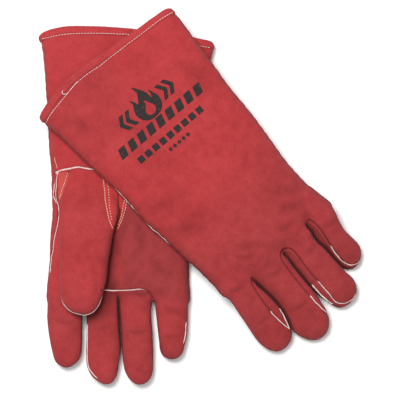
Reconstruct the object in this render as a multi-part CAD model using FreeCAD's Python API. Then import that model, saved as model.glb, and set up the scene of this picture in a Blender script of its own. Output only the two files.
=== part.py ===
import FreeCAD, Part
import math
import os

# A pair of 13 in (330 mm) leather gauntlet welding gloves, stacked as they are
# put down: the right glove lies palm up on the surface, and the left glove lies
# back up across it.  Millimetres.  +Z is up, +Y points along the right glove
# from its fingertips to its cuff, and the origin is at the bottom centre of
# the pair.
#
# Each glove is drawn in a frame of its own: x runs from the cuff to the
# fingertips, y from the thumb side to the little-finger side, z is up.

# ---- driving dimensions --------------------------------------------------
GLOVE_LENGTH = 330.0        # cuff hem to middle fingertip, 13 in
LEATHER = 1.6               # split leather
LINING = 0.8                # cotton lining
CLEAR = 0.2                 # between layers of one glove
LINING_LOOSE = 0.6          # between a finger's leather and its lining
WELT = 0.6                  # leather strip caught in a seam
WELT_PROUD = 1.4            # how far the welt stands out of the seam
HEM_TURN = 9.0              # width of the leather turned in at the cuff
HEM_LINE = 6.6              # stitch line, from the edge of the cuff
THREAD = 0.9
FINGER_GAP = 0.9            # between a finger and the hand, on the hinge plane
SEAM_SHAPE = 2.5            # crown of a panel across the glove
SEAM_POWER = 0.7
OVAL = 0.82                 # 1 is an ellipse, less is boxier
SIDE_ARC = 24.0             # half angle of a finger's side strip, in degrees

FLOOR = -0.1                # the right glove's back before it is pressed flat

# right glove: cuff centre and heading in the row frame
RIGHT_AT = (-73.5, 155.1)
RIGHT_HEADING = -90.0
# station x, thumb-side edge, little-side edge, bottom, seam, top
RIGHT_STATIONS = [
    (0.0, -72.5, 84.0, FLOOR, 8.5, 22.5),
    (22.0, -70.0, 84.0, FLOOR, 8.5, 22.5),
    (50.0, -68.5, 79.0, FLOOR, 8.5, 22.5),
    (90.0, -65.5, 72.0, FLOOR, 8.5, 23.0),
    (132.0, -62.7, 66.0, FLOOR, 8.5, 23.5),
    (175.0, -62.2, 63.5, FLOOR, 8.5, 24.0),
    (216.0, -65.0, 62.7, FLOOR, 8.5, 24.0),
    (265.0, -67.5, 62.5, FLOOR, 8.5, 22.5),
]
RIGHT_WRIST = 132.0
RIGHT_KNUCKLE = 265.0
# name, centre y, width at the root, width at the tip, tip x, height, axis z, slope
RIGHT_FINGERS = [
    ("index", -51.4, 31.0, 27.0, 314.0, 21.0, 11.0, 0.0),
    ("middle", -16.3, 30.2, 26.5, 328.5, 21.0, 11.0, 0.0),
    ("ring", 15.4, 29.6, 26.0, 328.5, 21.0, 11.0, 0.0),
    ("little", 47.6, 29.0, 24.5, 306.0, 20.0, 10.5, 0.0),
]
RIGHT_THUMB = dict(root=(170.0, -32.4), width=44.0, tip_width=38.0, tip_x=264.0,
                   height=18.0, axis_z=34.4, slope=0.0)

# left glove, over the right one
LEFT_AT = (-80.9, 115.5)
LEFT_HEADING = -53.13
LEFT_STATIONS = [
    (-15.5, -74.0, 76.5, 25.5, 34.0, 49.0),
    (18.0, -74.0, 77.5, 25.5, 34.0, 49.0),
    (50.0, -69.5, 77.0, 25.5, 34.0, 49.0),
    (94.0, -61.5, 77.5, 25.5, 34.0, 49.0),
    (116.0, -59.5, 78.0, 25.5, 34.0, 49.0),
    (140.0, -57.0, 78.5, 25.5, 34.0, 49.0),
    (175.0, -50.0, 80.0, 20.5, 29.0, 44.0),
    (209.0, -44.5, 85.5, 19.6, 28.0, 42.0),
    (233.5, -42.0, 85.5, 19.6, 28.0, 40.6),
]
LEFT_WRIST = 116.0
LEFT_KNUCKLE = 233.5
LEFT_FINGERS = [
    ("index", -28.0, 27.4, 25.0, 300.0, 20.5, 30.1, -20.5),
    ("middle", 7.8, 31.0, 27.0, 313.0, 20.5, 30.1, -17.0),
    ("ring", 44.2, 31.0, 27.0, 302.5, 20.5, 30.1, -19.8),
    ("little", 73.2, 24.6, 22.0, 279.0, 20.0, 30.1, -20.5),
]
LEFT_THUMB = dict(root=(170.0, -17.5), width=38.0, tip_width=34.0, tip_x=248.0,
                  height=17.4, axis_z=9.4, slope=0.0)

NODES = {}


def V(x, y, z=0.0):
    return FreeCAD.Vector(x, y, z)


def placement(at, heading):
    return FreeCAD.Placement(V(at[0], at[1], 0),
                             FreeCAD.Rotation(V(0, 0, 1), heading))


def stations_between(stations, lo, hi):
    """The stations from lo to hi, with one worked out at each end."""
    def at(x):
        for a, b in zip(stations, stations[1:]):
            if a[0] <= x <= b[0]:
                t = (x - a[0]) / (b[0] - a[0])
                return tuple(p + (q - p) * t for p, q in zip(a, b))
        raise ValueError(x)
    return [at(lo)] + [s for s in stations if lo + 0.5 < s[0] < hi - 0.5] + [at(hi)]


def crown(t):
    return max(0.0, 1.0 - abs(t) ** SEAM_SHAPE) ** SEAM_POWER


def belly(t):
    """The lower side: flat over the middle, turned up to the seam."""
    over = max(0.0, abs(t) - 0.68) / 0.32
    return math.sqrt(max(0.0, 1.0 - over ** 2))


def curve_points(s, upper, inset, base):
    """Points across the glove on one side of the seam, moved inward by inset."""
    x, y0, y1, zb, zs, zt = s
    mid, half = (y0 + y1) / 2, (y1 - y0) / 2 - inset
    points = []
    for t in (-1.0, -0.96, -0.86, -0.68, -0.4, 0.0, 0.4, 0.68, 0.86, 0.96, 1.0):
        if upper:
            z = base + (zt - inset - base) * crown(t)
        else:
            z = base - (base - zb - inset) * belly(t)
        points.append(V(x, mid + half * t, z))
    return points


def polyline(points):
    return [Part.makeLine(a, b) for a, b in zip(points, points[1:])]


def panel_wire(s, upper, inset, thick, base):
    outer = curve_points(s, upper, inset, base)
    inner = curve_points(s, upper, inset + thick, base)
    edges = polyline(outer)
    edges.append(Part.makeLine(outer[-1], inner[-1]))
    edges += polyline(list(reversed(inner)))
    edges.append(Part.makeLine(inner[0], outer[0]))
    return Part.Wire(edges)


def panel(stations, lo, hi, upper, inset=0.0, thick=LEATHER, lift=None):
    """One crowned panel of leather between two stations."""
    wires = []
    for s in stations_between(stations, lo, hi):
        gap = WELT / 2 + CLEAR / 2 if lift is None else lift
        base = s[4] + gap if upper else s[4] - gap
        wires.append(panel_wire(s, upper, inset, thick, base))
    return Part.makeLoft(wires, True, True)


def tube(stations, lo, hi, inset, thick):
    """A sleeve of one layer right round, inside the panels."""
    top = panel(stations, lo, hi, True, inset, thick, 0.0)
    bottom = panel(stations, lo, hi, False, inset, thick, 0.0)
    return top.fuse(bottom).removeSplitter()


def side_strip(stations, lo, hi, side):
    wires = []
    for s in stations_between(stations, lo, hi):
        y = s[1] if side < 0 else s[2]
        a, b = y - side * (LEATHER - 0.2), y + side * WELT_PROUD
        z0, z1 = s[4] - WELT / 2 + 0.05, s[4] + WELT / 2 - 0.05
        pts = [V(s[0], a, z0), V(s[0], b, z0), V(s[0], b, z1), V(s[0], a, z1)]
        if side < 0:
            pts.reverse()
        wires.append(Part.makePolygon(pts + [pts[0]]))
    return Part.makeLoft(wires, True, True)


def thread_line(stations, x, upper):
    s = stations_between(stations, x, x + 3)[0]
    base = s[4] + (WELT + CLEAR) / 2 * (1 if upper else -1)
    pts = curve_points(s, upper, -THREAD / 2 - 0.12, base)[1:-1]
    spine = Part.BSplineCurve()
    spine.interpolate(pts)
    edge = spine.toShape()
    first = spine.getD1(spine.FirstParameter)
    ring = Part.Wire(Part.makeCircle(THREAD / 2, first[0], first[1]))
    return Part.Wire(edge).makePipeShell([ring], True, True)


def prism(points, z0, z1):
    pts = [V(x, y, z0) for x, y in points]
    face = Part.Face(Part.makePolygon(pts + [pts[0]]))
    return face.extrude(V(0, 0, z1 - z0))


def box(x0, x1, y0, y1, z0, z1):
    return Part.makeBox(x1 - x0, y1 - y0, z1 - z0, V(x0, y0, z0))


def arc(a, h, lo, hi, n):
    """Points round a boxy oval from angle lo to hi, in degrees."""
    points = []
    for i in range(n + 1):
        q = math.radians(lo + (hi - lo) * i / n)
        c, s = math.cos(q), math.sin(q)
        points.append((a * math.copysign(abs(c) ** OVAL, c),
                       h * math.copysign(abs(s) ** OVAL, s)))
    return points


def radius(x, length, r0, r1):
    """Half width of a finger x along it: a taper that ends in a round tip."""
    start = length - r1
    if x <= start:
        return r0 + (r1 - r0) * x / start
    return r1 * math.sqrt(max(0.0, 1.0 - ((x - start) / r1) ** 2))


def strip(length, r0, r1, k, lo, hi, inset, thick, slope):
    """One leather piece of a finger, from angle lo to hi round it.

    The root lies on the hinge plane, which stays upright when the finger slopes.
    """
    height = r0 * k
    n = max(2, int(round(abs(hi - lo) / 15.0)))
    lean = math.tan(math.radians(-slope))
    wires = []
    end = length - inset
    tip = r1 - inset
    xs = [0.0]
    if slope:
        xs.append(2 * height * lean + 2.0)
    xs.append(max(xs[-1] + 2.0, (end - tip) * 0.75))
    xs += [end - tip, end - 0.62 * tip, end - 0.32 * tip, end - 0.12 * tip, end - 0.25]
    for i, x in enumerate(xs):
        a = max(0.9, radius(x, end, r0 - inset, tip))
        b = max(0.25, min(a - thick, radius(x, end - thick, r0 - inset - thick, tip - thick)))
        wire = []
        for r, order in ((a, 1), (b, -1)):
            pts = arc(r, r * k, lo, hi, n)[::order]
            wire += [V(x - (z - height) * lean if i == 0 else x, y, z) for y, z in pts]
        wires.append(Part.makePolygon(wire + [wire[0]]))
    return Part.makeLoft(wires, True, True)


def finger_parts(length, width, tip_width, height, inner_sides, back_up, slope):
    """Back, front, side strips and lining of one finger or thumb, root at x=0."""
    k = height / width
    r0, r1 = width / 2, tip_width / 2
    gap = math.degrees(CLEAR / r0) / 2 + 0.4
    half = SIDE_ARC if inner_sides else 0.0
    up = 1 if back_up else -1

    def piece(lo, hi, inset=0.0, thick=LEATHER):
        lo, hi = sorted((lo * up, hi * up))
        return strip(length, r0, r1, k, lo, hi, inset, thick, slope)

    # angles run from the +y side; the back is the half towards +90
    back = piece(half + gap, 180 - half - gap)
    lo_right = -half - gap if 1 in inner_sides else half - gap
    lo_left = -180 + half + gap if -1 in inner_sides else -180 - half + gap
    front = piece(lo_left, lo_right)
    out = {"back": [back], "front": [front]}
    sides = []
    if 1 in inner_sides:
        sides.append(piece(-half + gap, half - gap))
    if -1 in inner_sides:
        sides.append(piece(180 - half + gap, 180 + half - gap))
    if sides:
        out["fourchettes"] = sides
    # the lining is a looser bag, and stops short of the leather's tip
    length, r1 = length - 1.2, r1 - 0.4
    inset = LEATHER + LINING_LOOSE
    out["lining"] = [piece(0.6, 179.4, inset, LINING), piece(-179.4, -0.6, inset, LINING)]
    return out


def keep(name, shapes, where):
    if not isinstance(shapes, (list, tuple)):
        shapes = [shapes]
    solids = []
    for shape in shapes:
        moved = shape.copy()
        moved.Placement = where.multiply(moved.Placement)
        solids += moved.Solids if moved.Solids else [Part.Solid(moved)]
    solids = [s if s.Volume > 0 else s.reversed() for s in solids]
    NODES[name] = Part.makeCompound(solids) if len(solids) > 1 else solids[0]


def glove(side, at, heading, stations, wrist, knuckle, fingers, thumb, palm_up):
    where = placement(at, heading)
    x0 = stations[0][0]

    # hand and cuff
    back = panel(stations, x0, knuckle, not palm_up)
    if palm_up:
        # what the pair rests on is pressed flat
        back = back.cut(box(x0 - 5, knuckle + 5, -200, 200, -5, 0))
    keep(side + "_hand_back", back, where)
    keep(side + "_cuff_front",
         panel(stations, x0, wrist - WELT / 2 - CLEAR / 2, palm_up), where)
    keep(side + "_palm", panel(stations, wrist + WELT / 2 + CLEAR / 2, knuckle, palm_up), where)
    keep(side + "_wrist_welt",
         panel(stations, wrist - WELT / 2 + 0.05, wrist + WELT / 2 - 0.05, palm_up,
               -1.0, LEATHER + 0.8), where)
    keep(side + "_side_welts",
         [side_strip(stations, x0 + 0.5, knuckle - 1, -1),
          side_strip(stations, x0 + 0.5, knuckle - 1, 1)], where)
    keep(side + "_cuff_binding",
         tube(stations, x0, x0 + HEM_TURN, LEATHER + CLEAR, 0.9), where)
    keep(side + "_cuff_lining",
         tube(stations, x0 + HEM_TURN + CLEAR, wrist - 0.3, LEATHER + CLEAR, LINING), where)
    keep(side + "_hand_lining",
         tube(stations, wrist + 0.3, knuckle - 0.4, LEATHER + CLEAR, LINING), where)
    keep(side + "_hem_stitching", thread_line(stations, x0 + HEM_LINE, True), where)

    # reinforcement patch in the crotch of the thumb, on the palm
    skin = panel(stations, wrist + 8, knuckle - 40, palm_up, -1.35, 1.15)
    px = wrist + 6
    shape = [(px + 3, -16), (px + 4, -10), (px + 26, 9), (px + 40, 6), (px + 50, -1),
             (px + 54, -6), (px + 40, -9), (px + 14, -14)]
    z0, z1 = (14.0, 60.0) if palm_up else (0.0, 34.0)
    keep(side + "_thumb_patch", skin.common(prism(shape, z0, z1)), where)

    # fingers: the two outer ones have one side strip, the others two
    for i, (name, y, width, tip_width, tip_x, height, z, slope) in enumerate(fingers):
        start = knuckle + FINGER_GAP
        run = (tip_x - start) / math.cos(math.radians(slope))
        inner = [1] if i == 0 else [-1] if i == 3 else [-1, 1]
        parts = finger_parts(run, width, tip_width, height, inner, not palm_up, slope)
        # tilt about the upper edge of the root, so that the root stays clear of the hand
        top = z + height / 2
        lay = FreeCAD.Placement(V(start, y, top), FreeCAD.Rotation(V(0, 1, 0), -slope))
        lay = lay.multiply(FreeCAD.Placement(V(0, 0, -height / 2), FreeCAD.Rotation()))
        for piece, solids in parts.items():
            keep("%s_%s_%s" % (side, name, piece), solids, where.multiply(lay))

    # thumb
    tx, ty = thumb["root"]
    parts = finger_parts(thumb["tip_x"] - tx, thumb["width"], thumb["tip_width"],
                         thumb["height"], [], palm_up, 0.0)
    lay = FreeCAD.Placement(V(tx, ty, thumb["axis_z"]), FreeCAD.Rotation())
    for piece, solids in parts.items():
        keep("%s_thumb_%s" % (side, piece), solids, where.multiply(lay))


glove("right", RIGHT_AT, RIGHT_HEADING, RIGHT_STATIONS, RIGHT_WRIST, RIGHT_KNUCKLE,
      RIGHT_FINGERS, RIGHT_THUMB, True)
glove("left", LEFT_AT, LEFT_HEADING, LEFT_STATIONS, LEFT_WRIST, LEFT_KNUCKLE,
      LEFT_FINGERS, LEFT_THUMB, False)

os.makedirs("parts", exist_ok=True)
for name, shape in NODES.items():
    assert shape.isValid(), name
    shape.exportStep("parts/%s.step" % name)
    bb = shape.BoundBox
    print("%-28s %2d solids %9.0f mm3  x %7.1f %7.1f  y %7.1f %7.1f  z %6.1f %6.1f" % (
        name, len(shape.Solids), shape.Volume, bb.XMin, bb.XMax, bb.YMin, bb.YMax,
        bb.ZMin, bb.ZMax))
whole = Part.makeCompound(list(NODES.values())).BoundBox
print("whole", len(NODES), whole)
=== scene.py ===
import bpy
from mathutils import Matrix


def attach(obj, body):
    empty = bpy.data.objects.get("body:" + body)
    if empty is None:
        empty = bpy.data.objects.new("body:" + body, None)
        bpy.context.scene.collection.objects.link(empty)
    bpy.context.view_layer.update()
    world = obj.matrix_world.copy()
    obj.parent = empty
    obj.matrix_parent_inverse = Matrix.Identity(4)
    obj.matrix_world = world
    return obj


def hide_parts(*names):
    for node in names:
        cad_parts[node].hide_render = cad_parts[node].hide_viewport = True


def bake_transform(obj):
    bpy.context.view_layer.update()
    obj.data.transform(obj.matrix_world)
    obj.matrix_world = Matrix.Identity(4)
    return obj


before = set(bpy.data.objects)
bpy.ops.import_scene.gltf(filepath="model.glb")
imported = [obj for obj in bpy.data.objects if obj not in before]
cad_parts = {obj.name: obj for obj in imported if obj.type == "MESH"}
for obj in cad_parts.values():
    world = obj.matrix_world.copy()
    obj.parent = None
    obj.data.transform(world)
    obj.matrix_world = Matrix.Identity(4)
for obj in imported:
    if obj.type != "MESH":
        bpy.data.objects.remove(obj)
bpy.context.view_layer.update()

import math

import bpy
import numpy as np
from mathutils import Vector
from mathutils.bvhtree import BVHTree
from mathutils.geometry import delaunay_2d_cdt

# Each glove is drawn in millimetres in the same local frame as its CAD:
# u from the cuff to the fingertips, w from the thumb side to the little-finger
# side, z up.  place() takes it to the row frame in metres.
CELL = 0.9
LEATHER = 2.4
SET_IN = 0.6          # the fingers are meshed this much narrower, then filled out again


# ------------------------------------------------------------------ numbers
def catmull(points, step=1.5, closed=False):
    """A smooth line through points, sampled about every step."""
    p = np.asarray(points, float)
    n = len(p)
    out = []
    last = n if closed else n - 1
    for i in range(last):
        if closed:
            a, b, c, d = p[(i - 1) % n], p[i], p[(i + 1) % n], p[(i + 2) % n]
        else:
            a, b, c, d = p[max(i - 1, 0)], p[i], p[i + 1], p[min(i + 2, n - 1)]
        m = max(1, int(np.ceil(np.linalg.norm(c - b) / step)))
        for t in np.arange(m) / m:
            out.append(0.5 * (2 * b + (c - a) * t + (2 * a - 5 * b + 4 * c - d) * t ** 2
                              + (3 * b - a - 3 * c + d) * t ** 3))
    if not closed:
        out.append(p[-1])
    return np.array(out)


def evenly(line, step):
    """The line sampled at equal arc length."""
    line = np.asarray(line, float)
    seg = np.linalg.norm(np.diff(line, axis=0), axis=1)
    s = np.concatenate([[0], np.cumsum(seg)])
    n = max(2, int(round(s[-1] / step)) + 1)
    at = np.linspace(0, s[-1], n)
    return np.stack([np.interp(at, s, line[:, k]) for k in range(line.shape[1])], 1)


def near(points, line, chunk=20000):
    """Distance from 2D points to a polyline, how far along it that is, and which side."""
    a, b = line[:-1], line[1:]
    ab = b - a
    ll = np.maximum((ab ** 2).sum(1), 1e-9)
    s0 = np.concatenate([[0], np.cumsum(np.sqrt(ll))])[:-1]
    dist, along, side = [], [], []
    for i in range(0, len(points), chunk):
        p = points[i:i + chunk]
        d = p[:, None] - a[None]
        t = np.clip((d * ab).sum(2) / ll, 0, 1)
        r = d - t[..., None] * ab
        q = (r ** 2).sum(2)
        j = q.argmin(1)
        k = np.arange(len(p))
        dist.append(np.sqrt(q[k, j]))
        along.append(s0[j] + t[k, j] * np.sqrt(ll[j]))
        side.append(np.sign(ab[j, 0] * d[k, j, 1] - ab[j, 1] * d[k, j, 0]))
    return np.concatenate(dist), np.concatenate(along), np.concatenate(side)


def inside(points, poly):
    x, y = points[:, 0][:, None], points[:, 1][:, None]
    x0, y0 = poly[:, 0], poly[:, 1]
    x1, y1 = np.roll(x0, -1), np.roll(y0, -1)
    cross = ((y0 > y) != (y1 > y)) & (x < (x1 - x0) * (y - y0) / (y1 - y0 + 1e-12) + x0)
    return cross.sum(1) % 2 == 1


def depth(poly, U, W):
    """How far inside a closed outline each grid point is; negative outside."""
    u, w = U[::2, ::2], W[::2, ::2]
    pts = np.stack([u.ravel(), w.ravel()], 1)
    d = near(pts, np.vstack([poly, poly[:1]]))[0]
    sign = np.concatenate([np.where(inside(pts[i:i + 20000], poly), 1.0, -1.0)
                           for i in range(0, len(pts), 20000)])
    d = (d * sign).reshape(u.shape)
    for axis in (0, 1):
        n = U.shape[axis]
        at = np.arange(n) / 2.0
        i = np.minimum(at.astype(int), d.shape[axis] - 2)
        t = (at - i).reshape((-1, 1) if axis == 0 else (1, -1))
        d = np.take(d, i, axis) * (1 - t) + np.take(d, i + 1, axis) * t
    return d


def lattice(seed):
    return np.random.default_rng(seed).uniform(-1, 1, (32, 32, 32))


def noise(points, size, seed=0):
    """Smooth value noise from -1 to 1, with lumps about size across."""
    g = lattice(seed)
    p = np.asarray(points, float) / size + 100.37 + seed * 3.1
    i = np.floor(p).astype(int)
    f = p - i
    f = f * f * f * (f * (f * 6 - 15) + 10)
    out = 0
    for dx in (0, 1):
        for dy in (0, 1):
            for dz in (0, 1):
                wgt = (np.where(dx, f[:, 0], 1 - f[:, 0]) * np.where(dy, f[:, 1], 1 - f[:, 1])
                       * np.where(dz, f[:, 2], 1 - f[:, 2]))
                out = out + wgt * g[(i[:, 0] + dx) % 32, (i[:, 1] + dy) % 32, (i[:, 2] + dz) % 32]
    return out


def step01(x, a, b):
    t = np.clip((x - a) / (b - a), 0, 1)
    return t * t * (3 - 2 * t)


def soft_min(a, b, k):
    k = np.maximum(k, 1e-3)
    h = np.clip(0.5 + 0.5 * (b - a) / k, 0, 1)
    return b + (a - b) * h - k * h * (1 - h)


def surface_net(f, origin, cell):
    """Vertices and quads of the surface f = 0."""
    nx, ny, nz = f.shape
    s = f < 0
    c = np.zeros((nx - 1, ny - 1, nz - 1), np.int8)
    offs = [(i, j, k) for i in (0, 1) for j in (0, 1) for k in (0, 1)]
    for i, j, k in offs:
        c += s[i:nx - 1 + i, j:ny - 1 + j, k:nz - 1 + k]
    active = np.argwhere((c > 0) & (c < 8))
    val = np.stack([f[active[:, 0] + i, active[:, 1] + j, active[:, 2] + k] for i, j, k in offs], 1)
    total = np.zeros((len(active), 3))
    count = np.zeros(len(active))
    corners = np.array(offs, float)
    for a in range(8):
        for b in range(a + 1, 8):
            if np.abs(corners[a] - corners[b]).sum() != 1:
                continue
            fa, fb = val[:, a], val[:, b]
            m = (fa < 0) != (fb < 0)
            t = np.where(m, fa / np.where(m, fa - fb, 1), 0)
            total += np.where(m[:, None], corners[a] + t[:, None] * (corners[b] - corners[a]), 0)
            count += m
    verts = (active + total / count[:, None]) * cell + origin
    index = np.full(c.shape, -1, np.int64)
    index[tuple(active.T)] = np.arange(len(active))
    quads = []
    for axis in range(3):
        lo = [slice(1, n - 1) for n in f.shape]
        hi = [slice(1, n - 1) for n in f.shape]
        lo[axis] = slice(0, f.shape[axis] - 1)
        hi[axis] = slice(1, f.shape[axis])
        e0, e1 = s[tuple(lo)], s[tuple(hi)]
        hit = np.argwhere(e0 != e1)
        start = np.array([0 if a == axis else 1 for a in range(3)])
        base = hit + start
        flip = e0[tuple(hit.T)]
        o1, o2 = [(1, 2), (2, 0), (0, 1)][axis]
        ring = []
        for d1, d2 in ((0, 0), (-1, 0), (-1, -1), (0, -1)):
            q = base.copy()
            q[:, o1] += d1
            q[:, o2] += d2
            ring.append(index[tuple(q.T)])
        q = np.stack(ring, 1)
        q = np.where(flip[:, None], q, q[:, ::-1])
        quads.append(q)
    quads = np.vstack(quads)
    return verts, quads[(quads >= 0).all(1)]


def sampled(a, at):
    """Values of a grid between its points; at holds positions in cells."""
    at = np.clip(at, 0, np.array(a.shape) - 1.001)
    i = at.astype(int)
    t = at - i
    out = 0
    for dx in (0, 1):
        for dy in (0, 1):
            for dz in (0, 1):
                w = (t[:, 0] if dx else 1 - t[:, 0]) * (t[:, 1] if dy else 1 - t[:, 1]) * (
                    t[:, 2] if dz else 1 - t[:, 2])
                out = out + w * a[i[:, 0] + dx, i[:, 1] + dy, i[:, 2] + dz]
    return out


def relax(verts, quads, times, amount=0.5):
    n = len(verts)
    e = np.vstack([quads[:, [0, 1]], quads[:, [1, 2]], quads[:, [2, 3]], quads[:, [3, 0]]])
    for _ in range(times):
        total, count = np.zeros((n, 3)), np.zeros(n)
        for a, b in ((0, 1), (1, 0)):
            for k in range(3):
                total[:, k] += np.bincount(e[:, a], verts[e[:, b], k], n)
            count += np.bincount(e[:, a], minlength=n)
        verts = verts + amount * (total / np.maximum(count, 1)[:, None] - verts)
    return verts


def normals_of(verts, quads):
    a = verts[quads[:, 2]] - verts[quads[:, 0]]
    b = verts[quads[:, 3]] - verts[quads[:, 1]]
    fn = np.cross(a, b)
    n = np.zeros_like(verts)
    for k in range(3):
        for j in range(4):
            n[:, k] += np.bincount(quads[:, j], fn[:, k], len(verts))
    return n / np.maximum(np.linalg.norm(n, axis=1), 1e-9)[:, None]


# -------------------------------------------------------------- the gloves
class Glove:
    """One glove's local frame, its parts' shapes and its finished surface."""

    def __init__(self, side, at, heading):
        self.side, self.at = side, np.array(at)
        a = math.radians(heading)
        self.R = np.array([[math.cos(a), -math.sin(a)], [math.sin(a), math.cos(a)]])

    def place(self, p):
        p = np.asarray(p, float)
        xy = p[:, :2] @ self.R.T + self.at
        return np.column_stack([xy, p[:, 2]]) / 1000

    def turn(self, n):
        n = np.asarray(n, float)
        return np.column_stack([n[:, :2] @ self.R.T, n[:, 2]])


RIGHT = Glove("right", (-73.5, 155.1), -90.0)
LEFT = Glove("left", (-80.9, 115.5), -53.13)

# outlines, u and w in millimetres
RIGHT.outline = [
    (7.0, -75.6), (12.0, -73.8), (18.4, -71.6), (29.5, -70.5), (43.3, -69.5), (57.1, -69.1),
    (74.7, -67.4), (92.2, -66.3), (112.5, -65.6), (121.7, -64.3), (135.5, -63.4), (158.6, -63.1),
    (172.4, -62.6), (186.2, -63.6), (200.0, -64.6), (213.9, -65.0), (227.7, -66.0), (241.5, -66.4),
    (250.0, -66.6), (253.5, -55.0), (252.0, -40.0), (250.5, -33.7), (247.5, -25.0), (246.5, -12.0),
    (246.5, -2.6), (247.5, 8.0), (249.5, 20.0), (251.5, 30.2), (253.0, 40.0), (254.0, 52.0),
    (252.0, 62.7), (241.5, 62.8), (215.7, 62.8), (190.0, 63.2), (160.0, 64.3), (130.0, 66.3),
    (100.0, 70.2), (70.0, 75.6), (45.0, 80.2), (30.4, 83.0), (22.1, 85.4), (18.0, 86.4),
    (11.5, 85.4), (2.0, 84.0), (-8.0, 82.0), (-10.0, 0.0), (-6.0, -75.0)]
RIGHT.hem = [(9.0, -84.0), (7.3, -75.5), (4.6, -72.0), (1.8, -64.6), (-0.5, -53.5), (-1.4, -40.6),
             (-0.8, -18.5), (0.4, 0.0), (1.8, 16.6), (5.0, 42.0), (8.7, 66.4), (10.1, 73.7),
             (11.6, 81.1), (12.6, 85.7), (14.0, 95.0)]
RIGHT.fingers = {
    "index": [(222.0, -58.0), (235.0, -66.0), (241.5, -66.5), (255.4, -67.3), (267.4, -67.6),
              (278.4, -66.6), (287.6, -65.2), (298.7, -62.9), (306.0, -61.2), (311.0, -57.5),
              (313.9, -50.7), (311.1, -42.8), (305.2, -37.6), (298.7, -36.2), (287.6, -35.6),
              (273.8, -35.3), (262.7, -35.3), (256.3, -35.4), (246.0, -37.0), (225.0, -42.0)],
    "middle": [(222.0, -27.0), (240.0, -30.6), (256.3, -31.9), (264.6, -31.3), (287.6, -31.2),
               (301.5, -31.6), (311.6, -31.1), (319.9, -27.7), (325.4, -22.2), (328.9, -14.8),
               (328.0, -8.6), (322.7, -4.3), (315.3, -2.5), (306.1, -0.9), (296.9, -0.1),
               (289.5, -0.2), (283.0, -0.7), (269.2, -1.5), (255.4, -2.1), (248.3, -2.6), (240.0, -5.0),
               (225.0, -9.0)],
    "ring": [(222.0, 6.0), (240.0, 1.0), (248.3, -1.2), (252.8, -1.2), (269.2, -0.3), (283.0, 0.7),
             (289.5, 1.4), (296.9, 1.9), (310.7, 3.0), (319.9, 5.7), (326.6, 11.0),
             (329.3, 17.5), (327.3, 23.9), (321.8, 28.4), (312.5, 30.2), (296.9, 30.2),
             (283.0, 29.3), (269.2, 28.6), (260.0, 28.6), (254.4, 29.1), (240.0, 27.0),
             (225.0, 22.0)],
    "little": [(225.0, 38.0), (245.0, 32.6), (254.4, 32.0), (267.4, 33.2), (278.4, 34.8), (289.5, 35.9),
               (297.8, 36.9), (303.3, 39.9), (306.0, 46.1), (305.0, 52.5), (300.5, 57.1),
               (294.1, 59.4), (283.0, 61.7), (269.2, 62.5), (250.8, 62.7), (238.0, 62.0), (225.0, 54.0)]}
RIGHT.thumb = [(126.0, -48.0), (134.0, -53.5), (150.0, -55.3), (172.4, -55.6), (195.4, -54.8),
               (228.0, -54.6), (241.5, -54.2), (248.0, -53.4), (253.5, -51.0), (259.1, -46.1),
               (262.5, -38.8), (263.6, -31.4), (261.4, -25.4), (257.2, -21.2), (250.8, -17.7),
               (241.5, -14.3), (234.2, -12.2), (224.9, -10.8), (215.7, -10.0), (206.5, -8.4),
               (197.0, -7.0), (188.1, -5.4), (179.0, -2.6), (171.0, -0.4), (163.0, -0.6), (152.0, -5.0),
               (142.0, -11.0), (130.0, -19.0)]

LEFT.outline = [
    (-5.6, -77.8), (-0.6, -78.6), (4.4, -77.4), (19.2, -73.6), (31.9, -71.4), (44.3, -70.0),
    (58.5, -68.0), (71.9, -65.6), (82.3, -63.8), (93.7, -61.4), (107.3, -59.9), (117.1, -59.2),
    (127.1, -58.9), (135.4, -57.7), (146.8, -55.0), (159.7, -52.8), (171.9, -50.5), (181.5, -48.5),
    (195.5, -45.4), (209.1, -43.7), (222.0, -41.9), (229.0, -40.5), (232.0, -28.0), (231.0, -14.0),
    (230.2, -11.0), (231.0, -1.0), (230.5, 12.0), (228.5, 23.0), (227.3, 27.2), (228.0, 38.0),
    (225.5, 52.0), (219.0, 60.8), (220.5, 72.0), (219.0, 86.4), (214.8, 86.4), (209.1, 85.0),
    (199.0, 82.3), (190.1, 79.9), (172.6, 78.2), (160.8, 77.7), (115.3, 78.0), (79.3, 76.7),
    (46.9, 77.2), (18.6, 77.2), (7.9, 77.6), (-5.5, 77.8), (-10.5, 77.4), (-18.0, 76.0), (-26.0, 70.0), (-26.0, 0.0),
    (-24.0, -66.0), (-14.0, -73.5)]
LEFT.hem = [(-3.6, -90.0), (-4.8, -78.0), (-6.4, -73.4), (-8.1, -68.2), (-11.0, -60.0),
            (-13.7, -49.4), (-16.0, -35.4), (-16.6, -23.6), (-16.5, -12.4), (-16.1, -1.1),
            (-15.7, 10.1), (-15.4, 21.9), (-14.8, 32.6), (-14.6, 45.0), (-14.4, 55.7),
            (-14.0, 66.9), (-13.2, 74.0), (-12.0, 79.0), (-11.0, 90.0)]
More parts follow.
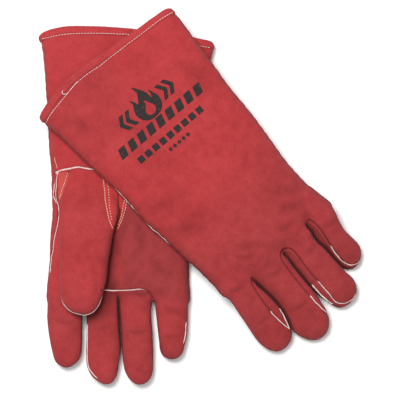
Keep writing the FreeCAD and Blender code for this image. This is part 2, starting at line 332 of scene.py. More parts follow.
LEFT.fingers = {
    "index": [(200.0, -34.0), (215.0, -40.0), (222.0, -42.0), (234.2, -39.9), (250.8, -40.6), (267.4, -41.5),
              (277.3, -41.9), (285.8, -41.0), (293.9, -38.0), (299.6, -33.0), (301.2, -26.6),
              (299.8, -19.6), (296.0, -14.2), (289.5, -10.8), (283.0, -8.6), (274.6, -7.3),
              (263.9, -7.1), (254.1, -8.2), (244.5, -9.8), (236.8, -11.4), (231.6, -12.6), (216.0, -17.0),
              (200.0, -22.0)],
    "middle": [(200.0, 0.0), (216.0, -6.0), (231.2, -9.6), (235.7, -8.7), (242.7, -6.9), (252.3, -5.0),
               (261.3, -4.2), (272.0, -5.0), (280.9, -6.9), (290.4, -8.9), (297.6, -8.5),
               (304.5, -5.5), (309.9, -1.1), (313.2, 5.3), (312.9, 12.5), (309.6, 18.3),
               (302.8, 23.4), (295.0, 25.7), (285.5, 26.7), (276.1, 27.0), (267.6, 26.7),
               (259.8, 26.2), (251.3, 25.8), (242.1, 25.5), (233.5, 25.5), (222.0, 22.0), (200.0, 14.0)],
    "ring": [(200.0, 38.0), (218.0, 31.0), (231.1, 27.9), (239.5, 27.3), (248.0, 27.6), (258.5, 28.2),
             (267.8, 28.9), (277.5, 30.0), (286.0, 31.2), (295.6, 33.8), (300.6, 37.0),
             (303.2, 42.0), (303.7, 48.7), (301.4, 55.6), (296.4, 60.8), (289.9, 63.4),
             (283.3, 63.2), (277.0, 61.9), (270.5, 60.9), (262.8, 60.1), (254.3, 59.5),
             (247.8, 58.6), (240.6, 56.9), (233.6, 56.2), (226.6, 57.4), (214.0, 54.0), (200.0, 48.0)],
    "little": [(196.0, 72.0), (210.0, 65.0), (222.2, 61.6), (230.1, 61.2), (238.8, 60.6), (248.8, 60.6),
               (259.3, 61.2), (269.1, 62.6), (275.6, 65.2), (279.5, 69.4), (279.6, 75.0),
               (276.6, 80.2), (271.8, 84.1), (266.3, 85.9), (260.4, 85.7), (253.4, 84.3),
               (245.6, 83.4), (238.3, 84.1), (232.2, 85.2), (226.1, 86.3), (218.0, 86.4), (206.0, 82.0),
               (196.0, 78.0)]}
LEFT.thumb = [(120.0, -22.0), (134.0, -38.0), (150.0, -42.0), (170.0, -38.0), (190.0, -37.0),
              (215.0, -36.4), (230.0, -35.6), (240.0, -31.0), (246.0, -24.0), (247.8, -17.0),
              (246.0, -9.5), (240.0, -3.5), (230.0, 0.8), (215.0, 1.6), (190.0, 1.8),
              (170.0, 2.8), (150.0, 4.0), (134.0, 0.0)]


def interp(u, table):
    t = np.array(table)
    return np.interp(u, t[:, 0], t[:, 1])


def smooth_interp(u, table):
    """Through the table's points, with soft corners."""
    line = catmull(table, 2.0)
    order = np.argsort(line[:, 0])
    return np.interp(u, line[order, 0], line[order, 1])


RIGHT.seam_z = [(-20, 8.6), (60, 8.6), (260, 8.7)]
RIGHT.up = [(-20, 12.6), (20, 13.4), (60, 13.8), (132, 14.4), (175, 14.8), (216, 14.4), (262, 12.6)]
RIGHT.down = [(-20, 8.5), (270, 8.5)]
LEFT.seam_z = [(-30, 35.0), (60, 35.0), (120, 34.8), (140, 34.0), (160, 31.3), (178, 29.4),
               (209, 28.2), (240, 27.6)]
LEFT.up = [(-30, 12.6), (20, 13.6), (60, 14.0), (140, 14.6), (175, 14.0), (209, 13.2), (235, 12.0)]
LEFT.down = [(-30, 8.2), (240, 8.2)]


def oval(d2, R, zs, up, down, z, p=2.6, lean=0.0):
    """Inside below 0: an outline of inner depth d2, swollen about the height zs."""
    dz = z[None, None, :] - zs[:, :, None]
    edge = (np.maximum(R[:, :, None] - d2[:, :, None] - lean * (dz - 4.0), 0) / R[:, :, None]) ** p
    rel = np.where(dz > 0, dz / up[:, :, None], -dz / down[:, :, None]) ** p
    return 10.0 * ((edge + rel) ** (1 / p) - 1)


def build(g, lo, hi):
    """The glove's closed leather surface as vertices and quads, open at the cuff."""
    axes = [np.arange(lo[k], hi[k] + CELL, CELL) for k in range(3)]
    U, W = np.meshgrid(axes[0], axes[1], indexing="ij")
    z = axes[2]
    out = catmull(g.outline, 2.0, True)
    d = depth(out, U, W)
    flat = np.column_stack([U.ravel(), W.ravel(), np.zeros(U.size)])
    wave = noise(flat, 62.0, 3).reshape(U.shape) + 0.5 * noise(flat, 27.0, 4).reshape(U.shape)
    zs = smooth_interp(U, g.seam_z)
    up = smooth_interp(U, g.up) + 0.55 * wave
    down = interp(U, g.down)
    mid = (out[:, 1].min() + out[:, 1].max()) / 2
    t = np.clip((W - mid) / 80.0, -1, 1)
    up = up * (1.03 - 0.10 * t ** 2)
    if g is LEFT:
        # the free side sags where nothing is under it
        sag = step01(W, 20, 90) * step01(U, 20, 120)
        zs = zs - 5.0 * sag
        thumb_under = np.exp(-((W + 17) / 26.0) ** 2) * step01(U, 150, 190)
        up = up + 1.2 * thumb_under
    else:
        zs = zs + 1.2 * step01(-U, -30, 10) * np.cos(W / 26.0)
        # pressed in where the thumb lies on it, and swollen beside it
        over = depth(catmull(g.thumb, 1.5, True), U, W)
        up = up - 2.6 * step01(over, -1.0, 7.0) * step01(U, 166, 182)
        up = up + 2.3 * np.exp(-((over + 4.5) / 4.5) ** 2) * step01(W, -26, -14) * step01(U, 150, 176)
    R = np.full(U.shape, 22.0)
    R = R - 6.0 * step01(U, 185, 235)
    field = oval(d, R, zs, up, down, z)

    stalls = None
    which = np.zeros(U.shape, int)
    for i, (name, pts) in enumerate(g.fingers.items()):
        poly = catmull(pts, 1.5, True)
        df = depth(poly, U, W) - SET_IN
        if g is LEFT:
            base = 29.9 - 4.2 * step01(np.full(U.shape, float(poly[:, 1].mean())), 20, 90)
            tip = poly[:, 0].max() - 226
            low = {"index": 9.8, "middle": 9.6, "ring": 9.6, "little": 9.8}[name]
            s = np.clip((U - 226.0) / (tip - 8), 0, 1.15)
            zc = base + (low - base) * (0.72 * s + 0.28 * s ** 2)
            h = 10.4 - 1.2 * s
        else:
            s = np.clip((U - 240.0) / 70.0, 0, 1)
            zc = 11.2 - 0.5 * s
            h = 10.6 - 0.9 * s
        half = (poly[:, 1].max() - poly[:, 1].min()) / 2
        lean = 0.0
        if g is LEFT:
            # the fingers' facing sides lean, each over the next
            middle = (poly[:, 1].max() + poly[:, 1].min()) / 2
            t = np.tanh((W - middle) / 6.0)
            t = np.where(t > 0, t * (name != "little"), t * (name != "index"))
            lean = (0.46 * t * (1 - 0.75 * step01(U, 262, 292)))[:, :, None]
        fz = oval(df, np.full(U.shape, min(half * 0.86, 13.5)), zc, h, h, z, 2.7, lean)
        if stalls is None:
            stalls, best, second = fz, df, np.full(df.shape, -99.0)
        else:
            stalls = np.minimum(stalls, fz)
            which[df > best] = i
            second = np.maximum(second, np.minimum(best, df))
            best = np.maximum(best, df)
    whole = soft_min(field, stalls, np.full((1, 1, 1), 3.2))
    poly = catmull(g.thumb, 1.5, True)
    dt = depth(poly, U, W)
    if g is RIGHT:
        zc = smooth_interp(U, [(110, 13.0), (132, 14.5), (150, 19.0), (165, 25.0), (180, 30.0),
                               (200, 32.2), (230, 32.6), (250, 32.2), (270, 31.4)])
        hu = smooth_interp(U, [(110, 7.0), (132, 8.2), (150, 9.6), (175, 10.2), (230, 10.0), (270, 9.2)])
        hd = smooth_interp(U, [(110, 6.0), (150, 7.0), (170, 7.6), (200, 9.0), (270, 8.6)])
        k = 9.0 * (1 - step01(U, 148, 165)) + 0.05
    else:
        zc = smooth_interp(U, [(110, 30.0), (130, 28.0), (150, 18.5), (166, 11.2), (185, 9.6), (250, 9.2)])
        # lifted clear where it crosses the other glove's edge
        over = 0.6 * (117.3 - 1.333 * W - U)
        zc = zc + (np.maximum(zc, 28.0) - zc) * step01(over, -9.0, 0.0)
        hu = smooth_interp(U, [(110, 5.0), (135, 7.0), (155, 7.6), (172, 8.2), (250, 8.3)])
        hd = smooth_interp(U, [(110, 4.0), (135, 6.0), (155, 7.4), (172, 8.2), (250, 8.3)])
        k = 5.0 * (1 - step01(U, 150, 166)) + 0.05
    ft = oval(dt, np.full(U.shape, 15.5), zc, hu, hd, z, 2.7)
    rest = whole
    whole = soft_min(whole, ft, k[:, :, None])

    # the cuff's mouth: cut at the hem, and hollow inside
    hem = smooth_interp_w(W, g.hem)
    mouth = (hem - U)[:, :, None]
    body = soft_max(whole, mouth, 1.2)
    hollow = np.maximum(field + LEATHER + 0.25 * step01(-U, -40, 0)[:, :, None],
                        (U - 118.0)[:, :, None])
    shell = np.maximum(body, -hollow)
    verts, quads = surface_net(shell, np.array([axes[0][0], axes[1][0], axes[2][0]]), CELL)
    at = (verts - [axes[0][0], axes[1][0], axes[2][0]]) / CELL
    ijk = np.clip(np.round(at).astype(int), 0, np.array(field.shape) - 1)
    g.depth_in = sampled(field, at)
    g.is_thumb = (ft < rest)[tuple(ijk.T)]
    g.finger_of = which[ijk[:, 0], ijk[:, 1]]
    g.of_finger = np.clip(0.5 + 0.5 * sampled(field - stalls, at) / 3.2, 0, 1)
    g.facing = step01(second, -5.0, -3.6)[ijk[:, 0], ijk[:, 1]] * g.of_finger
    g.over_seam = verts[:, 2] - zs[ijk[:, 0], ijk[:, 1]]
    g.hem_gap = verts[:, 0] - smooth_interp_w(verts[:, 1], g.hem)
    verts = relax(verts, quads, 4, 0.45)
    return verts, quads


def soft_max(a, b, k):
    return -soft_min(-a, -b, k)


def smooth_interp_w(w, table):
    line = catmull(table, 2.0)
    order = np.argsort(line[:, 1])
    return np.interp(w, line[order, 1], line[order, 0])


# --------------------------------------------------------- seams and creases
# on the upper side as it lies: (line, how deep, how wide)
RIGHT.seams = {
    "finger_bases": ([(241.6, -16.0), (242.0, -1.9), (241.5, 9.2), (240.6, 18.4), (241.1, 23.0),
                      (243.8, 27.0), (249.5, 30.2)], 0.9, 0.9),
    "wrist": ([(134.0, -60.5), (132.7, -57.5), (130.9, -52.6), (129.6, -46.1), (128.3, -38.8), (129.3, -32.3),
               (130.4, -24.9), (131.2, -10.0), (132.0, 10.0), (132.0, 40.0), (132.0, 62.0)], 1.1, 1.0),
    "thumb_outer": ([(133.7, -57.4), (142.0, -58.3), (153.9, -59.0), (160.4, -58.2), (165.9, -57.4),
                     (172.4, -57.2), (178.8, -57.6), (184.4, -58.2), (190.8, -60.0), (200.0, -62.0),
                     (209.3, -63.2), (218.5, -64.9)], 0.9, 0.9),
    "gusset": ([(132.7, -47.1), (142.0, -49.8), (149.3, -52.6), (158.6, -55.0)], 0.5, 0.8),
}
LEFT.seams = {
    "index": ([(229.6, -11.6), (233.0, -13.6), (238.4, -14.7), (245.8, -15.6), (255.8, -16.0), (264.3, -15.6),
               (272.2, -15.2), (279.7, -13.9), (286.6, -12.6)], 1.0, 0.85),
    "middle_ring": ([(300.0, 24.0), (295.4, 23.6), (287.7, 22.6), (281.2, 21.9), (274.6, 21.6), (265.0, 20.9),
                     (253.2, 20.4), (246.0, 20.2), (236.8, 20.4), (230.7, 21.6), (227.0, 24.2), (226.2, 27.4),
                     (227.6, 31.0), (230.8, 33.2), (238.1, 34.3), (248.0, 34.1), (256.0, 34.2), (263.2, 34.6),
                     (267.6, 35.3), (274.8, 35.9), (283.3, 36.5), (290.9, 36.4), (295.6, 37.8), (299.4, 41.0),
                     (301.6, 46.6)], 1.0, 0.85),
    "little": ([(218.6, 62.6), (222.6, 64.0), (226.6, 64.9), (233.8, 65.4), (241.2, 64.9), (248.6, 64.4),
                (254.7, 63.9), (262.6, 64.2), (269.8, 65.4), (274.6, 68.2), (277.2, 72.0), (277.6, 76.0)], 1.0, 0.85),
}
RIGHT.creases = [
    ([(168, 12), (182, 18), (198, 20), (214, 17)], 0.55, 4.5),
    ([(150, 22), (160, 34), (172, 42)], 0.45, 4.0),
    ([(214, 30), (224, 40), (230, 52)], 0.5, 4.0),
    ([(244, 30), (247, 22), (246, 12)], 0.7, 2.2),
    ([(70, -58), (82, -40), (90, -20)], 0.5, 5.0),
    ([(96, -56), (104, -42), (108, -28)], 0.45, 4.5),
    ([(258, 40), (262, 50), (262, 58)], 0.5, 2.6),
    ([(270, -60), (272, -50), (271, -40)], 0.35, 2.4),
    ([(276, -26), (277, -16), (275, -6)], 0.35, 2.4),
    ([(280, 6), (281, 16), (279, 26)], 0.35, 2.4),
    ([(284, 40), (285, 48), (283, 56)], 0.35, 2.2),
]
LEFT.creases = [
    ([(203, -14), (211, -5), (216, 6)], 0.6, 2.6),
    ([(196, -8), (205, 4), (208, 14)], 0.45, 3.4),
    ([(206, 30), (212, 42), (211, 54)], 0.55, 3.0),
    ([(192, 44), (200, 58), (203, 72)], 0.5, 4.0),
    ([(178, 50), (186, 64), (190, 76)], 0.4, 4.5),
    ([(150, -48), (160, -30), (163, -10)], 0.45, 6.0),
    ([(120, -52), (128, -34), (130, -12)], 0.4, 7.0),
    ([(28, 52), (50, 60), (74, 62)], 0.4, 6.5),
    ([(10, -60), (26, -52), (40, -50)], 0.35, 6.0),
    ([(228, -36), (231, -28), (230, -20)], 0.4, 2.4),
    ([(238, -2), (240, 8), (238, 16)], 0.35, 2.6),
    ([(240, 40), (242, 48), (240, 56)], 0.35, 2.6),
    ([(232, 68), (234, 76), (232, 82)], 0.4, 2.4),
    ([(266, -36), (268, -26), (266, -18)], 0.3, 2.4),
    ([(276, 0), (278, 10), (276, 18)], 0.3, 2.4),
]


def finish_surface(g, verts, quads):
    """Creases, seams, the turned hem and the leather's own unevenness."""
    n = normals_of(verts, quads)
    level = n * [1, 1, 0]
    close = 0.35 if g is LEFT else 0.28
    verts = verts + level * (SET_IN * g.of_finger + close * g.facing)[:, None]
    n = normals_of(verts, quads)
    uw = verts[:, :2]
    upper = step01(n[:, 2], -0.15, 0.35)
    lower = 1 - upper
    outer = step01(g.depth_in, -1.9, -0.9)      # 0 on the lining's side
    shade = np.zeros(len(verts))
    rise = 0.42 * noise(verts, 34.0, 11) + 0.26 * noise(verts, 13.0, 12) + 0.10 * noise(verts, 5.0, 13)

    def close_to(line, margin):
        lo, hi = line.min(0) - margin, line.max(0) + margin
        m = np.flatnonzero(((uw > lo) & (uw < hi)).all(1) & (upper * outer > 0.01))
        if not len(m):
            return m, np.zeros(0), np.zeros(0)
        d, s, _ = near(uw[m], line)
        return m, d, s

    for name, (line, deep, wide) in g.seams.items():
        m, d, s = close_to(catmull(line, 1.0), 16.0)
        on = (upper * outer)[m]
        groove = np.exp(-(d / wide) ** 2)
        lip = np.exp(-((d - 2.1 * wide) / (1.1 * wide)) ** 2)
        pucker = np.exp(-d / 4.5) * np.sin(2 * math.pi * s / 7.3 + 2.0 * noise(verts[m], 15.0, 5))
        fade = step01(-d, -15, -11)
        rise[m] += on * fade * (-deep * groove + 0.38 * deep * lip + 0.16 * pucker * (1 - groove))
        # painted shade in the seam's groove
        shade[m] = np.maximum(shade[m], on * 0.82 * np.exp(-(d / (0.9 * wide)) ** 2))
    for line, deep, wide in g.creases:
        m, d, s = close_to(catmull(line, 2.0), 5.0 * wide)
        on = (upper * outer)[m]
        taper = np.sin(math.pi * np.clip(s / s.max(), 0.02, 0.98)) ** 0.7
        rise[m] += on * taper * deep * (0.55 * np.exp(-((d - 2.0 * wide) / (1.2 * wide)) ** 2)
                                        - np.exp(-(d / wide) ** 2))
        # painted shade in the crease
        shade[m] = np.maximum(shade[m], on * taper * 0.30 * np.exp(-(d / wide) ** 2))

    # puckers along the side seams, both faces
    c = catmull(g.outline, 2.0, True)
    d, s, _ = near(uw, np.vstack([c, c[:1]]))
    hand_part = step01(-verts[:, 0], -225, -205) * step01(verts[:, 0], 4, 18)
    rise = rise + outer * hand_part * np.exp(-d / 5.0) * 0.22 * np.sin(
        2 * math.pi * s / 9.1 + 2.4 * noise(verts, 21.0, 6))

    # the hem: a turned band, a stitch line sunk into it and small puckers from it
    h = g.hem_gap
    band = outer * step01(-h, -6.6, -5.2)
    line = outer * np.exp(-((h - 7.0) / 1.0) ** 2)
    rise = rise + 0.70 * band - 0.35 * line
    across = 2 * math.pi * verts[:, 1] / 5.2 + 2.2 * noise(verts, 16.0, 7)
    rise = rise + outer * 0.20 * np.exp(-np.abs(h - 7.0) / 4.0) * np.sin(across + 0.25 * h)
    # painted shade along the hem's stitch line
    shade = np.maximum(shade, 0.30 * outer * np.exp(-((h - 7.0) / 0.8) ** 2))

    out = verts + n * rise[:, None]
    out[:, 2] = np.maximum(out[:, 2], 0.25)
    # worn, paler leather in random patches, and paler on the hem band
    wear = 0.35 * band + 0.3 * step01(noise(verts, 24.0, 21), 0.15, 0.7) * outer
    return out, np.clip(shade, 0, 1), np.clip(wear, 0, 1)


def shade_and_blotches(g, v):
    """How much painted shade darkens the leather, 0 to 1: more towards the fingers, on part of the left cuff and
    across the right palm, less on the raised right thumb, with random blotches.
    """
    u, w, z = v[:, 0], v[:, 1], v[:, 2]
    blotch = 0.12 * noise(v, 40.0, 51)
    if g is LEFT:
        cuff = 0.32 * step01(-u, -90, -10) * step01(-w, -20, 10)
        return np.clip(0.56 * step01(u, 95, 235) - 0.08 * step01(u, 235, 290) + cuff + blotch, 0, 1)
    palm = step01(u, 128, 175) * step01(-u, -262, -235) * step01(w, -14, 8)
    thumb = step01(z, 26, 30) * step01(-w, 2, 8)
    return np.clip((0.78 * palm + 0.42 * step01(u, 225, 275)) * (1 - 0.6 * thumb) + 0.24 * thumb + blotch, 0, 1)


def painted_thumb_shadow(g):
    """Painted shade on the thumb's near flank and painted shadow in the fold on the palm and finger bases beside the
    lying thumb.
    """
    out = np.zeros(len(g.verts))
    u, w, z = g.verts.T
    m = np.flatnonzero((u > 158) & (u < 284) & (w > -36) & (w < 12) & (z > 10) & (g.normals[:, 2] > -0.2))
    c = catmull(g.thumb, 1.5, True)
    d = near(g.verts[m, :2], np.vstack([c, c[:1]]))[0]
    where = step01(u[m], 172, 200) * step01(w[m] - 0.07 * (250 - u[m]), -36, -20)
    flank = 0.42 * (1 - step01(d, 0.3, 7.5)) * (1 - 0.9 * step01(u[m], 222, 244))
    reach = 6.2 + 5.5 * step01(u[m], 224, 244)
    fold = 0.92 * np.exp(-(d / reach) ** 3) * (1 - step01(u[m], 268, 284))
    out[m] = where * np.where(g.is_thumb[m], flank, fold)
    return out


def turned_edge(g, inner, binding):
    """A smooth line along the cut edge of the leather turned in at the cuff, with normals."""
    def edges(keep):
        q = g.quads[keep]
        e = np.sort(np.vstack([q[:, [0, 1]], q[:, [1, 2]], q[:, [2, 3]], q[:, [3, 0]]]), 1)
        return set(map(tuple, e.tolist()))

    link = {}
    for a, b in edges(inner) & edges(binding):
        link.setdefault(a, []).append(b)
        link.setdefault(b, []).append(a)
    best, seen = [], set()
    for start in link:
        if start in seen:
            continue
        loop, at = [start], start
        seen.add(start)
        while True:
            step = [k for k in link[at] if k not in seen]
            if not step:
                break
            at = step[0]
            seen.add(at)
            loop.append(at)
        if len(loop) > len(best):
            best = loop
    p, n = g.verts[best], g.normals[best]
    for _ in range(24):
        p = (np.roll(p, 1, 0) + 2 * p + np.roll(p, -1, 0)) / 4
        n = (np.roll(n, 1, 0) + 2 * n + np.roll(n, -1, 0)) / 4
    both = evenly(np.hstack([p, n])[list(range(len(p))) + [0, 1, 2]], 1.1)
    n = both[:, 3:]
    return both[:, :3], n / np.maximum(np.linalg.norm(n, axis=1), 1e-9)[:, None]


def mesh_object(name, verts, faces, normals=None, attributes=None, smooth=True):
    """An object from vertices in metres, equal-sided faces and their extras."""
    mesh = bpy.data.meshes.new(name)
    if isinstance(faces, np.ndarray):
        k = faces.shape[1]
        mesh.vertices.add(len(verts))
        mesh.vertices.foreach_set("co", np.asarray(verts, np.float32).ravel())
        mesh.loops.add(faces.size)
        mesh.loops.foreach_set("vertex_index", faces.astype(np.int32).ravel())
        mesh.polygons.add(len(faces))
        mesh.polygons.foreach_set("loop_start", np.arange(0, faces.size, k, dtype=np.int32))
        mesh.update(calc_edges=True)
    else:
        mesh.from_pydata([tuple(v) for v in verts], [], faces)
    if normals is None:
        v, f = np.asarray(verts, float), np.asarray(faces)
        c = v.mean(0)
        a, b, d = v[f[:, 0]] - c, v[f[:, 1]] - c, v[f[:, 2]] - c
        total = (np.cross(a, b) * d).sum()
        if f.shape[1] == 4:
            e = v[f[:, 3]] - c
            total += (np.cross(a, d) * e).sum()
        if total < 0:
            mesh.flip_normals()
    mesh.validate(clean_customdata=False)
    mesh.polygons.foreach_set("use_smooth", [smooth] * len(mesh.polygons))
    for key, values in (attributes or {}).items():
        values = np.asarray(values, np.float32)
        kind = "FLOAT_VECTOR" if values.ndim == 2 else "FLOAT"
        a = mesh.attributes.new(key, kind, "POINT")
        a.data.foreach_set("vector" if values.ndim == 2 else "value", values.ravel())
    if normals is not None:
        mesh.normals_split_custom_set_from_vertices([tuple(v) for v in normals])
    ob = bpy.data.objects.new(name, mesh)
    bpy.context.scene.collection.objects.link(ob)
    return ob


def subset(g, name, quads, keep):
    q = quads[keep]
    used, inverse = np.unique(q, return_inverse=True)
    q = inverse.reshape(q.shape)
    ob = mesh_object(name, g.place(g.verts[used]), q, g.turn(g.normals[used]),
                     {"rest": g.verts[used] / 1000, "shade": g.shade[used], "wear": g.wear[used],
                      "tan": g.tan[used]})
    return ob


def on_surface(g, line, above=True, offset=0.0):
    """Where a line in u, w meets the glove's upper (or lower) side, with normals."""
    pts, nrm = [], []
    for p in line:
        o = Vector((p[0], p[1], 120.0 if above else -60.0))
        hit = g.tree.ray_cast(o, Vector((0, 0, -1.0 if above else 1.0)))
        if hit[0] is None:
            continue
        pts.append(np.array(hit[0]) + offset * np.array(hit[1]))
        nrm.append(np.array(hit[1]))
    return np.array(pts), smooth_rows(np.array(nrm))


def smooth_rows(v, times=3):
    v = v.copy()
    for _ in range(times):
        w = v.copy()
        w[1:-1] = (v[:-2] + 2 * v[1:-1] + v[2:]) / 4
        v = w
    return v / np.maximum(np.linalg.norm(v, axis=1), 1e-9)[:, None]


def ribbon(points, normals, width, height, seed=0, sink=0.7, taper=3.0):
    """A narrow folded strip standing in a seam, along points."""
    p = np.asarray(points)
    tangent = np.gradient(p, axis=0)
    tangent /= np.maximum(np.linalg.norm(tangent, axis=1), 1e-9)[:, None]
    side = np.cross(tangent, normals)
    side /= np.maximum(np.linalg.norm(side, axis=1), 1e-9)[:, None]
    s = np.concatenate([[0], np.cumsum(np.linalg.norm(np.diff(p, axis=0), axis=1))])
    ends = np.clip(np.minimum(s, s[-1] - s) / taper, 0.12, 1)
    lump = 1 + 0.16 * noise(np.column_stack([s, s * 0, s * 0]), 3.2, 31 + seed)
    sway = 0.22 * noise(np.column_stack([s, s * 0 + 9, s * 0]), 5.0, 41 + seed)
    prof = [(-0.5, -sink), (-0.52, 0.25), (-0.36, 0.78), (0.0, 1.0), (0.36, 0.78), (0.52, 0.25), (0.5, -sink),
            (0.0, -sink)]
    rings = []
    for a, b in prof:
        h = b * height * ends * lump if b > 0 else np.full(len(p), b)
        rings.append(p + side * ((a * width * ends * lump + sway)[:, None]) + normals * h[:, None])
    v = np.stack(rings, 1).reshape(-1, 3)
    m = len(prof)
    quads = []
    for i in range(len(p) - 1):
        for j in range(m - 1):
            a = i * m + j
            quads.append((a, a + m, a + m + 1, a + 1))
        quads.append((i * m + m - 1, (i + 1) * m + m - 1, (i + 1) * m, i * m))
    for e, turn in ((0, 1), ((len(p) - 1) * m, -1)):
        for ring in ((0, 1, 2, 3), (0, 3, 4, 7), (4, 5, 6, 7)):
            quads.append(tuple(e + k for k in ring[::turn]))
    return v, np.array(quads)


def thread(points, normals, pitch=3.3, length=2.5, radius=0.42, lift=0.12, jitter=0.12, seed=1):
    """Single stitches along a line: short twisted-thread capsules."""
    line = np.asarray(points)
    s = np.concatenate([[0], np.cumsum(np.linalg.norm(np.diff(line, axis=0), axis=1))])
    rng = np.random.default_rng(seed)
    vs, fs = [], []
    n_ring, n_side = 7, 8
    base = 0
    for c in np.arange(pitch / 2, s[-1], pitch):
        c = c + rng.uniform(-jitter, jitter)
        at = np.linspace(c - length / 2, c + length / 2, n_ring)
        q = np.stack([np.interp(at, s, line[:, k]) for k in range(3)], 1)
        nn = np.stack([np.interp(at, s, normals[:, k]) for k in range(3)], 1)
        t = np.gradient(q, axis=0)
        t /= np.linalg.norm(t, axis=1)[:, None] + 1e-9
        b = np.cross(t, nn)
        b += rng.uniform(-0.08, 0.08) * t
        f = np.linspace(-1, 1, n_ring)
        r = radius * np.sqrt(np.clip(1.02 - f ** 4, 0.02, 1))
        arch = lift - 0.55 * radius * f ** 4
        for i in range(n_ring):
            for j in range(n_side):
                a = 2 * math.pi * j / n_side
                twist = 1 + 0.10 * math.sin(2 * a + 3.0 * f[i] * math.pi)
                vs.append(q[i] + nn[i] * (arch[i] + 0.8 * r[i] * twist * math.sin(a)) + b[i] * r[i] * twist * math.cos(a))
        for i in range(n_ring - 1):
            for j in range(n_side):
                k = (j + 1) % n_side
                fs.append((base + i * n_side + j, base + i * n_side + k,
                           base + (i + 1) * n_side + k, base + (i + 1) * n_side + j))
        for i, order in ((0, 1), (n_ring - 1, -1)):
            ring = [base + i * n_side + j for j in range(n_side)][::-order]
            for j in range(1, n_side - 2, 2):
                fs.append((ring[0], ring[j], ring[j + 1], ring[j + 2]))
        base += n_ring * n_side
    return np.array(vs), np.array(fs)


def joined(parts):
    vs, fs, n = [], [], 0
    for v, f in parts:
        vs.append(v)
        fs.append(f + n)
        n += len(v)
    return np.vstack(vs), np.vstack(fs)


# ------------------------------------------------------------------ materials
def node_tree(name):
    mat = bpy.data.materials.new(name)
    mat.use_nodes = True
    t = mat.node_tree
    return mat, t, t.nodes["Principled BSDF"]


def add(t, kind, **values):
    node = t.nodes.new(kind)
    for key, v in values.items():
        if hasattr(node, key):
            setattr(node, key, v)
        else:
            node.inputs[key.replace("_", " ")].default_value = v
    return node


def noise_node(t, where, scale, detail=3.0, rough=0.55):
    n = add(t, "ShaderNodeTexNoise")
    n.inputs["Scale"].default_value = scale
    n.inputs["Detail"].default_value = detail
    n.inputs["Roughness"].default_value = rough
    t.links.new(where, n.inputs["Vector"])
    return n.outputs["Fac"]


def math_node(t, op, a, b):
    m = add(t, "ShaderNodeMath", operation=op)
    for i, v in enumerate((a, b)):
        if isinstance(v, (int, float)):
            m.inputs[i].default_value = v
        else:
            t.links.new(v, m.inputs[i])
    return m.outputs[0]


def mapped(t, value, lo, hi, a=0.0, b=1.0):
    m = add(t, "ShaderNodeMapRange", clamp=True)
    for i, v in enumerate((lo, hi, a, b)):
        m.inputs[i + 1].default_value = v
    t.links.new(value, m.inputs[0])
    return m.outputs[0]


def blended(t, fac, a, b, mode="MIX"):
    m = add(t, "ShaderNodeMix", data_type="RGBA", blend_type=mode)
    slots = [m.inputs[0], m.inputs[6], m.inputs[7]]
    for sock, v in zip(slots, (fac, a, b)):
        if isinstance(v, (int, float)):
            sock.default_value = v
        elif isinstance(v, tuple):
            sock.default_value = v
        else:
            t.links.new(v, sock)
    return m.outputs[2]


def attribute(t, name, kind="Fac"):
    a = add(t, "ShaderNodeAttribute", attribute_name=name)
    return a.outputs[kind]


